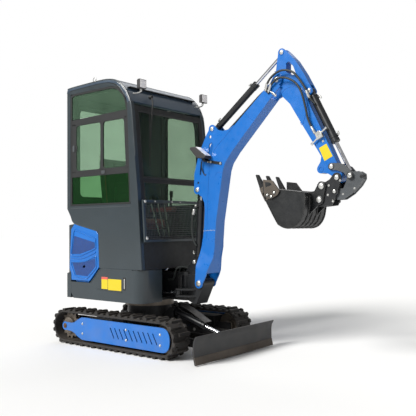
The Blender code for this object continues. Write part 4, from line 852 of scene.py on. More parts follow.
def hydraulics():
    cylinder("boom_cylinder", *BOOM_CYLINDER, 0.500, 0.033, 0.018, 0.040, "boom_rod",
             "boom_barrel", 0.100, port_turn=(-0.8, -0.6, 0.05))
    cylinder("arm_cylinder", *ARM_CYLINDER, 0.505, 0.028, 0.0135, 0.021, "arm_rod",
             "arm_barrel", 0.290, port_turn=(-0.614, 0, 0.789))
    cylinder("bucket_cylinder", *BUCKET_CYLINDER, 0.425, 0.031, 0.0135, 0.021, "bucket_rod",
             "bucket_barrel", 0.265, port_turn=(0.894, 0, 0.448))
    cylinder("blade_cylinder", *BLADE_CYLINDER, 0.36, 0.027, 0.013, 0.018, "blade_rod",
             "blade_barrel", 0.150, port_turn=(0, 1, 0))
    cylinder("swing_cylinder", *SWING_CYLINDER, 0.40, 0.028, 0.014, 0.021, "swing_rod",
             "swing_barrel", 0.180, level=SWING_CYLINDER_Z, port_turn=(0, -1, 0))
    pin_heads()

    across = ("boom", "arm", (1.300, 0, 2.030), (1.600, 0, 1.930))
    hose("arm_hose_upper",
         [(1.272, -0.066, 2.006), (1.286, -0.075, 2.032), (1.319, -0.078, 2.076),
          (1.377, -0.078, 2.112), (1.439, -0.077, 2.119), (1.510, -0.076, 2.093),
          (1.559, -0.072, 2.037), (1.606, -0.066, 1.960), (1.628, -0.060, 1.905)],
         HOSE_RADIUS, "arm", blend=across, ends=("boom", "arm"), cuff=0.045)
    hose("arm_hose_lower",
         [(1.300, -0.066, 1.992), (1.316, -0.074, 2.020), (1.376, -0.078, 2.064),
          (1.448, -0.078, 2.062), (1.528, -0.076, 2.016), (1.577, -0.073, 1.939),
          (1.606, -0.066, 1.823), (1.616, -0.060, 1.760), (1.642, -0.056, 1.691),
          (1.668, -0.054, 1.645)],
         HOSE_RADIUS, "arm", blend=across, ends=("boom", "arm"), cuff=0.050)
    hose("arm_hose_far",
         [(1.286, 0.066, 1.998), (1.310, 0.076, 2.050), (1.390, 0.080, 2.090),
          (1.480, 0.078, 2.060), (1.560, 0.072, 1.985), (1.610, 0.060, 1.900)],
         HOSE_RADIUS, "arm", blend=across, ends=("boom", "arm"), cuff=0.045)
    hose("bucket_cylinder_hose",
         [(1.628, -0.056, 1.900), (1.650, -0.050, 1.872), (1.668, -0.043, 1.850)],
         0.0070, "arm")
    hose("boom_cylinder_hose",
         [(0.585, -0.040, 1.160), (0.556, -0.046, 1.140), (0.536, -0.046, 1.085),
          (0.530, -0.046, 0.990), (0.534, -0.046, 0.920), (0.552, -0.044, 0.870),
          (0.570, -0.040, 0.840)], THIN_HOSE, "boom_barrel")
    connector = Shape().turned((0.5545, -0.046, 1.136), (0.5350, -0.046, 1.080),
                               [(0, 0.011), (0.004, 0.013), (0.040, 0.013), (0.045, 0.0105)], 12)
    emit(connector, "boom_cylinder_connector", "boom_barrel", ZINC)
    for number, y in enumerate((-0.028, 0.0, 0.028)):
        hose(f"swing_hose_{number}",
             [(0.300, y * 2.2 - 0.02, 0.560), (0.350, y * 2.0 - 0.02, 0.572),
              (0.420, y * 1.6 - 0.065, 0.660), (0.480, y * 1.3 - 0.02, 0.665),
              (0.530, y * 1.2, 0.620)],
             0.0085, "swing_post",
             blend=("house", "swing_post", (0.330, 0, 0.560), (0.500, 0, 0.620)))
    for number, out in enumerate((0.0, 0.018)):
        hose(f"boom_foot_hose_{number}",
             [(0.545 + out, 0.036, 0.600), (0.600 + out, 0.042, 0.655),
              (0.655 + out, 0.042, 0.720), (0.678 + out, 0.036, 0.800),
              (0.690 + out, 0.030, 0.870)],
             HOSE_RADIUS, "boom", blend=("swing_post", "boom", (0.56, 0, 0.61), (0.685, 0, 0.850)))
    back = ((1.236, 2.004), (1.180, 1.968), (1.000, 1.826), (0.860, 1.720))
    for number, y in enumerate((-0.034, 0.034)):
        hose(f"arm_supply_{number}",
             [(x, y, z - 0.004) for x, z in back] + [(0.800, y, 1.690)], THIN_HOSE, "boom")


# ---------------------------------------------------------------- boom and arm details

def boom_details():
    seam = Shape()
    for side in (-1, 1):
        y = side * (BOOM_HALF + WELD_STAND)
        seam.drawn(((0.6905, 0.900), (0.7005, 1.150), (0.7080, 1.290), (0.7205, 1.440),
                    (0.7485, 1.555), (0.7945, 1.621), (0.880, 1.694), (0.966, 1.768)),
                   y, WELD, 6, 4)
        seam.drawn(((0.786, 1.400), (0.800, 1.420), (0.845, 1.415), (0.853, 1.412)),
                   y, FINE_WELD, 6, 4)
        seam.drawn(((1.075, 1.862), (1.088, 1.838), (1.118, 1.812), (1.150, 1.790)),
                   y, WELD, 6, 4)
    emit(seam, "boom_welds", "boom", BLUE)
    dots = Shape()
    for number in range(9):
        share = number / 8
        dots.turned((0.660 + 0.108 * share, -BOOM_HALF + 0.001, 0.961 + 0.004 * share
                     + 0.002 * (number % 2)), (0.660 + 0.108 * share, -1, 0.961),
                    [(0, 0.0042), (0.002, 0.0036), (0.003, 0.0)], 8)
    emit(dots, "boom_weld_dots", "boom", ZINC)
    arm_seam = Shape()
    for side in (-1, 1):
        y = side * (ARM_HALF + WELD_STAND)
        arm_seam.drawn(((1.395, 1.968), (1.420, 1.990), (1.470, 2.000), (1.540, 1.985),
                        (1.590, 1.935), (1.604, 1.880), (1.590, 1.800), (1.560, 1.714),
                        (1.545, 1.735)), y, WELD, 6, 4)
        arm_seam.drawn(((1.330, 2.135), (1.372, 2.118), (1.405, 2.112), (1.430, 2.112)),
                       y, FINE_WELD, 6, 4)
    emit(arm_seam, "arm_welds", "arm", BLUE)
    ear = Shape()
    for side in (-1, 1):
        ear.across((1.703, 1.389), [(ARM_HALF - 0.002, 0.0205), (ARM_HALF + 0.0018, 0.0205),
                                    (ARM_HALF + 0.0018, 0.0140), (ARM_HALF - 0.006, 0.0132)],
                   24, side)
    emit(ear, "thumb_ear_bosses", "arm", BLUE)

    block = Shape()
    block.prism([(1.668, -0.0352, 1.640), (1.712, -0.0352, 1.655), (1.735, -0.0352, 1.612),
                 (1.690, -0.0352, 1.590)], (0, -0.026, 0))
    emit(block, "arm_port_block", "arm", ZINC, 0.002)
    ports = Shape()
    ports.swept([(1.700, -0.050, 1.628), (1.726, -0.052, 1.648), (1.752, -0.052, 1.667)], 0.0062,
                10, 4)
    ports.swept([(1.690, -0.052, 1.605), (1.668, -0.053, 1.585), (1.648, -0.053, 1.568)], 0.0062,
                10, 4)
    for x, z in ((1.685, 1.651), (1.723, 1.581)):
        ports.bolt((x, -0.035, z), (0, -1, 0), 0.0065)
    for x, z in ((1.694, 1.628), (1.712, 1.608)):
        ports.bolt((x, -0.060, z), (0, -1, 0), 0.0055)
    ports.turned((1.760, -0.052, 1.673), (1.748, -0.052, 1.664), [(0, 0.009), (0.014, 0.009)], 6)
    ports.turned((1.641, -0.053, 1.562), (1.650, -0.053, 1.570), [(0, 0.009), (0.014, 0.009)], 6)
    emit(ports, "arm_port_pipes", "arm", ZINC)
    sticker = Shape()
    corners = [(1.690, 1.536), (1.748, 1.562), (1.795, 1.472), (1.732, 1.442)]
    sticker.plate(corners, -ARM_HALF - 0.0008, -ARM_HALF + 0.0004)
    emit(sticker, "arm_sticker", "arm", YELLOW, 0.0003)

    block = Shape()
    block.prism([(x, -BOOM_HALF, z) for x, z in ((1.262, 2.000), (1.286, 2.016), (1.312, 1.985),
                                                (1.290, 1.968))], (0, -0.012, 0))
    emit(block, "boom_port_block", "boom", BLACK, 0.002)
    ports = Shape()
    for x, z in ((1.272, 2.008), (1.300, 1.992), (1.330, 1.966), (1.350, 1.950)):
        ports.bolt((x, -BOOM_HALF, z), (0, -1, 0), 0.0075, 0.011)
    ports.swept([(1.312, -0.064, 1.981), (1.338, -0.066, 1.968), (1.358, -0.064, 1.946)], 0.0060,
                10, 4)
    emit(ports, "boom_ports", "boom", ZINC)

    lamp_case = Shape()
    lamp_case.prism([(0.594, -0.140, 1.628), (0.645, -0.140, 1.627), (0.752, -0.140, 1.548),
                     (0.738, -0.140, 1.530), (0.662, -0.140, 1.536), (0.590, -0.140, 1.612)],
                    (0, 0.078, 0))
    emit(lamp_case, "boom_lamp_case", "boom", LAMP_CASE, 0.003)
    lens = Shape()
    ahead = Vector((0.107, 0, -0.079)).normalized()
    up = Vector((0.079, 0, 0.107)).normalized()
    corner = Vector((0.646, -0.134, 1.6262)) + up * 0.0008
    lens.prism([corner, corner + ahead * 0.126, corner + ahead * 0.126 + Vector((0, 0.066, 0)),
                corner + Vector((0, 0.066, 0))], up * 0.0022)
    emit(lens, "boom_lamp_lens", "boom", LENS, 0.0008)
    bracket = Shape()
    bracket.plate(strut((0.706, 1.513), (0.846, 1.487), 0.022), -0.0625, -0.0568)
    bracket.plate([(0.690, 1.545), (0.712, 1.545), (0.724, 1.512), (0.706, 1.504)], -0.110,
                  -0.0570)
    emit(bracket, "boom_lamp_bracket", "boom", BLACK, 0.0015)
    bolts = Shape()
    for x, z in ((0.712, 1.512), (0.839, 1.488), (0.740, 1.507)):
        bolts.bolt((x, -0.0620, z), (0, -1, 0), 0.0075)
    emit(bolts, "boom_lamp_bolts", "boom", ZINC)
    cable = Shape()
    cable.swept([(0.668, -0.075, 1.535), (0.655, -0.072, 1.490), (0.660, -0.066, 1.440),
                 (0.673, -0.061, 1.412), (0.684, -0.058, 1.405), (0.690, -0.050, 1.425),
                 (0.668, -0.040, 1.470), (0.645, -0.030, 1.480)], 0.0040, 8, 6)
    emit(cable, "boom_lamp_cable", "boom", HOSE)


def link_details():
    bridge = Shape()
    bridge.plate([(1.930, 1.214), (1.984, 1.264), (2.012, 1.305), (2.010, 1.338), (1.990, 1.342),
                  (1.984, 1.308), (1.962, 1.276), (1.918, 1.232)], -0.0192, 0.0192)
    emit(bridge, "bucket_link_web", "bucket_link", LINK, 0.0015)
    knob = Shape()
    knob.across((2.0015, 1.321), [(-0.036, 0.0), (-0.035, 0.010), (-0.0315, 0.012), (0.0315, 0.012),
                                 (0.035, 0.010), (0.036, 0.0)], 16)
    emit(knob, "bucket_link_knob", "bucket_link", BLACK)
    grease = Shape()
    for x, z in ((1.868, 1.208), (1.952, 1.243)):
        grease.bolt((x, -0.0308, z), (0, -1, 0), 0.0055)
        grease.bolt((x, 0.0308, z), (0, 1, 0), 0.0055)
    emit(grease, "bucket_link_bolts", "bucket_link", ZINC)
    coupler = Shape()
    for side in (-1, 1):
        for x, z in ((1.770, 1.270), (1.762, 1.205), (1.800, 1.160), (1.856, 1.300)):
            coupler.bolt((x, side * 0.0498, z), (0, side, 0), 0.0060)
    emit(coupler, "coupler_bolts", "bucket", ZINC)
    latch = Shape()
    latch.box((1.698, 1.734), (-0.030, 0.030), (1.134, 1.160))
    emit(latch, "coupler_latch", "bucket", WORN, 0.003)


def bucket_details():
    back = [(1.310, 1.200), (1.409, 1.0297), (1.440, 0.9987), (1.480, 0.9827), (1.525, 0.9807),
            (1.570, 0.9947), (1.604, 1.0277), (1.626, 1.075), (1.638, 1.150), (1.641, 1.210)]
    ribs = Shape()
    for y in (-0.1545, -0.088, -0.030, 0.030, 0.088, 0.1545):
        ribs.drawn(back[3 if abs(y) < 0.15 else 0:], y, 0.0055, 6, 3)
    emit(ribs, "bucket_ribs", "bucket", BUCKET)
    lip = Shape()
    for side in (-1, 1):
        lip.drawn(((1.440, 1.2505), (1.500, 1.2445), (1.570, 1.2350), (1.618, 1.2275)),
                  side * 0.1535, 0.0055, 8, 3)
    emit(lip, "bucket_rim", "bucket", BUCKET)
    edge = Shape()
    edge.prism([(1.283, -0.1555, 1.252), (1.309, -0.1555, 1.188), (1.332, -0.1555, 1.194),
                (1.308, -0.1555, 1.254)], (0, 0.311, 0))
    emit(edge, "bucket_edge", "bucket", WORN, 0.002)
    teeth = Shape()
    for y in (-0.133, 0.0, 0.133):
        tooth(teeth, y)
    emit(teeth, "bucket_teeth", "bucket", WORN, 0.002)
    for side, word in ((-1, "right"), (1, "left")):
        y = side * 0.1672
        cutter = Shape()
        outline = [(1.3060, 1.3300), (1.3850, 1.3190), (1.4460, 1.2425), (1.4300, 1.2150),
                   (1.3760, 1.1880), (1.3400, 1.1900), (1.3150, 1.2150), (1.3150, 1.2620)]
        cutter.plate(outline, *sorted((y - side * 0.004, y + side * 0.0030)))
        emit(cutter, f"{word}_side_cutter", "bucket", WORN, 0.002)
        dark, bolts = Shape(), Shape()
        for x, z in ((1.343, 1.216), (1.376, 1.204), (1.402, 1.232)):
            dark.turned((x, y + side * 0.0015, z), (x, side, z),
                        [(0, 0.0145), (0.0022, 0.0145), (0.0024, 0.0135)], 18)
            bolts.turned((x, y + side * 0.0030, z), (x, side, z),
                         [(0, 0.0085), (0.004, 0.0080), (0.0052, 0.005), (0.0055, 0.0)], 14)
        patch = Shape()
        patch.plate([(1.325, 1.312), (1.372, 1.304), (1.384, 1.286), (1.330, 1.272)],
                    *sorted((y + side * 0.0028, y + side * 0.0034)))
        emit(dark, f"{word}_cutter_rings", "bucket", BUCKET)
        emit(bolts, f"{word}_cutter_bolts", "bucket", ZINC)
        emit(patch, f"{word}_cutter_patch", "bucket", BUCKET, 0.0002)


def tooth(shape, y):
    """A bucket tooth: a wedge with a socket at its foot."""
    sections = (((1.330, 1.180), 0.0225, 0.018), ((1.300, 1.236), 0.0225, 0.019),
                ((1.281, 1.272), 0.0215, 0.0165), ((1.280, 1.274), 0.0180, 0.0140),
                ((1.252, 1.328), 0.0150, 0.0085), ((1.2345, 1.366), 0.0125, 0.0030))
    out = Vector((0.88, 0, 0.47))
    rows = []
    for (x, z), wide, thick in sections:
        centre = Vector((x, y, z))
        rows.append([shape.mesh.verts.new(centre + out * a * thick + Vector((0, b * wide, 0)))
                     for a, b in ((-1, -1), (1, -1), (1, 1), (-1, 1))])
    for one, two in zip(rows, rows[1:]):
        shape.join(one, two)
    shape.mesh.faces.new(rows[0])
    shape.mesh.faces.new(rows[-1])


# ---------------------------------------------------------------- body panels

VENT_FIELDS = (
    ((-0.456, 0.925), (-0.192, 0.870), (-0.187, 0.822), (-0.380, 0.772), (-0.487, 0.768)),
    ((-0.480, 0.693), (-0.315, 0.702), (-0.184, 0.739), (-0.180, 0.673), (-0.283, 0.586),
     (-0.434, 0.592)),
)
VENT_RIBS = (
    (((-0.452, 0.985), (-0.440, 0.974), (-0.300, 0.938), (-0.190, 0.905), (-0.181, 0.880),
      (-0.178, 0.835), (-0.190, 0.817), (-0.290, 0.783), (-0.380, 0.757), (-0.470, 0.757),
      (-0.492, 0.764), (-0.492, 0.800), (-0.470, 0.930), (-0.452, 0.985)), 0.0060),
    (((-0.487, 0.703), (-0.380, 0.704), (-0.300, 0.716), (-0.187, 0.754), (-0.172, 0.740),
      (-0.168, 0.675), (-0.190, 0.645), (-0.283, 0.572), (-0.300, 0.568), (-0.436, 0.580),
      (-0.450, 0.590), (-0.492, 0.668), (-0.493, 0.695), (-0.487, 0.703)), 0.0055),
    (((-0.487, 0.735), (-0.380, 0.733), (-0.290, 0.750), (-0.178, 0.790)), 0.0050),
)


def panels():
    for side, word in ((-1, "right"), (1, "left")):
        y = side * HALF_WIDTH
        fields = Shape()
        for outline in VENT_FIELDS:
            fields.skin(outline, side, -0.0008, 0.0012)
        emit(fields, f"{word}_vent_mesh", "house", VENT_MESH)
        ribs = Shape()
        for points, radius in VENT_RIBS:
            ribs.drawn(points, y + side * 0.0005, radius * 1.25, 8, 4)
        emit(ribs, f"{word}_vent_ribs", "house", BLUE)
        mark = Shape()
        mark.skin([(-0.345, 0.668), (-0.318, 0.680), (-0.306, 0.664), (-0.332, 0.650)], side,
                  0.0004, 0.0012)
        emit(mark, f"{word}_vent_catch", "house", ZINC, 0.0003)
        # This rounded rim in charcoal enamel carries that finish's painted edge highlight along the
        # skirt's top edge.
        edge = Shape()
        edge.drawn(((-0.244, 0.5330), (-0.180, 0.5935), (-0.116, 0.6535), (0.000, 0.6540),
                    (0.150, 0.6540), (0.255, 0.6540)), side * (HALF_WIDTH - 0.0030), 0.0060, 8, 3)
        emit(edge, f"{word}_skirt_edge", "house", GREY)
        base = Shape()
        base.drawn(((-0.505, 1.1625), (-0.200, 1.1625), (0.100, 1.1625), (0.235, 1.1625)),
                   side * (HALF_WIDTH - 0.0040), 0.0060, 8, 3)
        base.drawn(((-0.549, 1.160), (-0.505, 1.095), (-0.461, 1.0325), (-0.300, 0.9975),
                    (-0.166, 0.9680)), side * (HALF_WIDTH - 0.0030), 0.0040, 8, 3)
        emit(base, f"{word}_panel_edge", "house", GREY)
    stickers = Shape()
    y = -HALF_WIDTH
    stickers.skin([(-0.106, 0.491), (-0.032, 0.491), (-0.032, 0.569), (-0.106, 0.569)], -1,
                  *STICKER)
    stickers.skin([(-0.027, 0.485), (0.130, 0.485), (0.130, 0.575), (-0.027, 0.575)], -1,
                  *STICKER)
    emit(stickers, "side_stickers", "house", YELLOW)
    band = Shape()
    band.skin([(-0.106, 0.5690), (-0.032, 0.5690), (-0.032, 0.589), (-0.106, 0.589)], -1, *STICKER)
    emit(band, "sticker_band", "house", PINK)
    recess = Shape()
    recess.plate([(-0.160, 0.482), (0.137, 0.474), (0.137, 0.480), (-0.160, 0.488)], y - 0.0040,
                 y + 0.001)
    emit(recess, "skirt_ledge", "house", GREY, 0.0012)
    key = Shape()
    key.plate(rounded(0.150, 0.181, 0.492, 0.594, 0.006), y - 0.0012, y + 0.001)
    emit(key, "key_plate", "house", SEAL, 0.0006)
    slot = Shape()
    slot.plate(rounded(0.161, 0.171, 0.503, 0.583, 0.004), y - 0.0020, y)
    emit(slot, "key_slot", "house", ZINC, 0.0005)
    tail = Shape()
    for angle in range(154, 211, 8):
        turn = math.radians(angle)
        out = Vector((math.cos(turn), math.sin(turn), 0))
        along = Vector((-math.sin(turn), math.cos(turn), 0))
        foot = out * 0.7100
        corners = [foot + along * a + Vector((0, 0, z))
                   for a, z in ((-0.013, 0.700), (0.013, 0.700), (0.013, 0.800), (-0.013, 0.800))]
        tail.prism(corners, out * 0.0045)
    emit(tail, "hood_louvres", "hood", SEAL, 0.001)
    hood = Shape()
    grip = [(0.708, 12.6), (0.722, 12.9), (0.724, 15.5), (0.722, 18.1), (0.708, 18.4)]
    hood.swept([(-r * math.cos(math.radians(a)), -r * math.sin(math.radians(a)), 0.655)
                for r, a in grip], 0.0050, 8, 5)
    emit(hood, "hood_handle", "hood", BLACK)
    seam = Shape()
    angle = math.degrees(math.asin(HALF_WIDTH / 0.715))
    seam.swept([(x, y, 0.6005) for x, y in arc((0, 0), 0.7105, 180 + angle, 180 - angle, 14)],
               0.0035, 6, 2)
    emit(seam, "counterweight_seam", "house", SEAL)
    lamps = Shape()
    for side in (-1, 1):
        turn = math.radians(180 + side * 27)
        place = Vector((0.713 * math.cos(turn), 0.713 * math.sin(turn), 0.520))
        out = Vector((math.cos(turn), math.sin(turn), 0))
        lamps.turned(place - out * 0.004, place + out, [(0, 0.027), (0.0065, 0.027), (0.008, 0.024),
                                                        (0.0085, 0.0)], 24)
    emit(lamps, "tail_reflectors", "house", PINK)


# ---------------------------------------------------------------- cab

def cab_windows():
    side, word = -1, "right"
    y = side * HALF_WIDTH
    opening = [(-0.506, 1.180), (0.238, 1.180), (0.203, 1.960), (0.186, 2.030),
               (0.145, 2.092), (0.085, 2.135), (0.020, 2.152), (-0.506, 2.152)]
    centre = Vector((-0.14, 1.66))

    def grown(points, share_x, share_z):
        return [(centre.x + (x - centre.x) * share_x, centre.y + (z - centre.y) * share_z)
                for x, z in points]

    seal = Shape()
    outer = resampled(opening, 72)
    inner = resampled(grown(opening, 0.955, 0.968), 72)
    seal.ring(outer, inner, *on_wall(side, -0.0035, -0.016))
    emit(seal, f"{word}_window_seal", "house", SEAL, 0.0015)
    bars = Shape()
    front, back = on_wall(side, -0.0050, -0.0165)
    bars.plate([(-0.500, 1.876), (0.205, 1.876), (0.200, 1.940), (-0.500, 1.925)], front, back)
    bars.plate([(-0.500, 1.428), (0.228, 1.428), (0.225, 1.477), (-0.500, 1.477)], front, back)
    bars.plate([(-0.500, 1.470), (-0.436, 1.470), (-0.436, 1.885), (-0.500, 1.885)], front,
               back)
    bars.plate([(0.190, 1.470), (0.230, 1.470), (0.212, 1.885), (0.166, 1.885)], front, back)
    bars.plate([(-0.119, 1.470), (-0.092, 1.470), (-0.092, 1.880), (-0.119, 1.880)], front,
               back)
    emit(bars, f"{word}_window_bars", "house", SEAL, 0.0015)
    corners = Shape()
    for x0, x1, lean in ((-0.437, -0.118, 0.0), (-0.093, 0.186, -0.022)):
        outline = rounded(x0 - 0.004, x1 + 0.004, 1.474, 1.880, 0.004, 5)
        hole = rounded(x0 + 0.004, x1 - 0.004, 1.482, 1.872, 0.028, 5)
        outline = [(x + (lean * (z - 1.47) / 0.41 if x > 0 else 0), z) for x, z in outline]
        hole = [(x + (lean * (z - 1.47) / 0.41 if x > 0 else 0), z) for x, z in hole]
        corners.ring(outline, hole, *on_wall(side, -0.0045, -0.0170))
    emit(corners, f"{word}_pane_frames", "house", SEAL, 0.001)
    panes = Shape()
    panes.plate([(-0.440, 1.470), (-0.100, 1.470), (-0.100, 1.885), (-0.440, 1.885)],
                *on_wall(side, -0.0080, -0.0105))
    panes.plate([(-0.112, 1.470), (0.225, 1.470), (0.205, 1.885), (-0.112, 1.885)],
                *on_wall(side, -0.0120, -0.0145))
    panes.plate([(-0.498, 1.930), (0.200, 1.935), (0.183, 2.026), (0.142, 2.087),
                 (0.083, 2.130), (0.018, 2.146), (-0.498, 2.146)],
                *on_wall(side, -0.0100, -0.0125))
    emit(panes, f"{word}_sliding_panes", "house", CLEAR_GLASS,
         replaces=(f"{word}_window",))
    low = Shape()
    low.plate([(-0.500, 1.186), (0.232, 1.186), (0.226, 1.440), (-0.500, 1.440)],
              *on_wall(side, -0.0100, -0.0125))
    emit(low, f"{word}_lower_pane", "house", DARK_GLASS)
    latch = Shape()
    latch.skin(rounded(-0.106, -0.064, 1.439, 1.466, 0.005), side, -0.0040, 0.001)
    latch.skin(rounded(-0.478, -0.452, 1.650, 1.704, 0.005), side, -0.0040, 0.001)
    emit(latch, f"{word}_window_latch", "house", LINK, 0.0012)
    pull = Shape()
    pull.swept([(-0.425, y - side * 0.005, 1.655), (-0.418, y + side * 0.001, 1.662),
                (-0.418, y + side * 0.001, 1.690), (-0.425, y - side * 0.005, 1.697)], 0.004, 8,
               4)
    emit(pull, f"{word}_window_pull", "house", SEAL)

    door = Shape()
    y = HALF_WIDTH
    pane = [(-0.205, 1.180), (0.205, 1.180), (0.165, 1.900), (0.140, 1.970), (0.105, 2.010),
            (0.050, 2.035), (-0.205, 2.035)]
    middle = Vector((-0.01, 1.62))
    hole = [(middle.x + (x - middle.x) * 0.93, middle.y + (z - middle.y) * 0.965) for x, z in pane]
    door.ring(resampled(pane, 64), resampled(hole, 64), y - 0.020, y - 0.002)
    emit(door, "door_window_seal", "door", SEAL, 0.0015)
    handle = Shape()
    handle.swept([(0.195, y - 0.002, 1.040), (0.198, y + 0.026, 1.048), (0.198, y + 0.028, 1.100),
                  (0.195, y - 0.002, 1.108)], 0.0065, 10, 6)
    handle.plate(rounded(0.170, 0.222, 0.985, 1.125, 0.012), y - 0.001, y + 0.004)
    emit(handle, "door_handle", "door", BLACK, 0.0012)
    seam = Shape()
    outline = [(-0.245, 1.065), (-0.245, 2.085), (0.030, 2.085), (0.094, 2.075), (0.140, 2.040),
               (0.175, 1.985), (0.200, 1.900), (0.245, 1.250), (0.257, 0.725), (-0.100, 0.725),
               (-0.100, 0.995), (-0.245, 1.065)]
    seam.drawn(outline, y - 0.003, 0.003, 6, 2)
    emit(seam, "door_edge_seal", "door", SEAL)
    rear = Shape()
    opening = rounded(-0.345, 0.345, 1.245, 2.065, 0.020, 5)
    hole = rounded(-0.320, 0.320, 1.270, 2.040, 0.040, 5)
    x_out, x_in = -0.5560, -0.5380
    rows = [[rear.mesh.verts.new((x, a, b)) for a, b in line]
            for line, x in ((opening, x_out), (opening, x_in), (hole, x_in), (hole, x_out))]
    for one, two in zip(rows, rows[1:] + rows[:1]):
        rear.join(one, two)
    emit(rear, "rear_window_seal", "house", SEAL, 0.0015)


def screen_seal(name, low, high):
    """The rubber round a windscreen, following the slanted front."""
    half = 0.385
    shape = Shape()
    heights = [low + (high - low) * i / 6 for i in range(7)]
    for side in (-1, 1):
        shape.swept([(front_x(z) - 0.0040, side * (half - 0.006), z) for z in heights], 0.0085, 8,
                    2)
    for z in (low + 0.006, high - 0.006):
        shape.swept([(front_x(z) - 0.0040, y, z) for y in (-half, -0.1, 0.1, half)], 0.0085, 8, 2)
    emit(shape, name, "house", SEAL)


def cab_front():
    screen_seal("lower_screen_seal", 0.905, 1.363)
    screen_seal("upper_screen_seal", 1.387, 1.935)
    low, high, half, stand = 0.886, 1.200, 0.425, 0.028
    grid = Shape()
    columns, rows = 48, 18
    for i in range(1, columns):
        y = -half + 2 * half * i / columns
        wire(grid, (front_x(low) + stand, y, low), (front_x(high) + stand, y, high), 0.0016)
    for i in range(1, rows):
        z = low + (high - low) * i / rows
        x = front_x(z) + stand
        wire(grid, (x + 0.0008, -half, z), (x + 0.0008, half, z), 0.0016)
    # The wires are black; their mid-grey colour is a painted highlight so they read lighter against
    # the dark cab.
    emit(grid, "guard_wires", "house", LINK, replaces=("front_guard",))
    rail = Shape()
    for z in (low, high):
        x = front_x(z) + stand
        rail.box((x - 0.009, x + 0.009), (-half, half), (z - 0.011, z + 0.011))
    for side in (-1, 1):
        y = side * half
        rail.plate(strut((front_x(low) + stand, low - 0.010), (front_x(high) + stand, high + 0.010),
                         0.019), y - 0.0105, y + 0.0105)
        for z in (low + 0.03, high - 0.03):
            rail.turned((front_x(z) + 0.0005, side * 0.400, z),
                        (front_x(z) + stand, side * 0.400, z), [(0, 0.009), (stand, 0.009)], 14)
    emit(rail, "guard_frame", "house", GREY, 0.003)
    bolts = Shape()
    for y, z in ((-0.414, high - 0.004), (0.414, high - 0.004), (-0.414, low + 0.02),
                 (0.414, low + 0.02), (-0.30, high), (-0.10, high), (0.0, high), (0.30, high)):
        x = front_x(z) + stand + 0.0085
        size = 0.0125 if abs(y) > 0.4 else 0.0065
        bolts.turned((x, y, z), (x + 1, y, z), [(0, size), (size * 0.4, size * 0.95),
                                                (size * 0.8, size * 0.55), (size * 0.9, 0)], 16)
    emit(bolts, "guard_bolts", "house", ZINC)

    wiper = Shape()
    wiper.swept([(0.252, -0.2250, 2.062), (0.268, -0.230, 2.030), (0.276, -0.240, 1.960),
                 (0.284, -0.262, 1.810), (0.289, -0.278, 1.700)], 0.0055, 8, 5)
    wiper.swept([(0.268, -0.268, 1.935), (0.292, -0.285, 1.700), (0.308, -0.302, 1.480)], 0.0045, 6,
                4)
    wiper.turned((0.232, -0.225, 2.062), (0.262, -0.225, 2.068), [(0, 0.016), (0.024, 0.016),
                                                                 (0.030, 0.011)], 16)
    emit(wiper, "wiper", "house", SEAL)
    strip = Shape()
    strip.swept([(0.230, -0.40, 1.972), (0.233, 0.0, 1.972), (0.230, 0.40, 1.972)], 0.006, 8, 3)
    emit(strip, "roof_front_seal", "house", SEAL)


def wire(shape, start, end, radius):
    shape.turned(start, end, [(0, radius), ((Vector(end) - Vector(start)).length, radius)], 4)


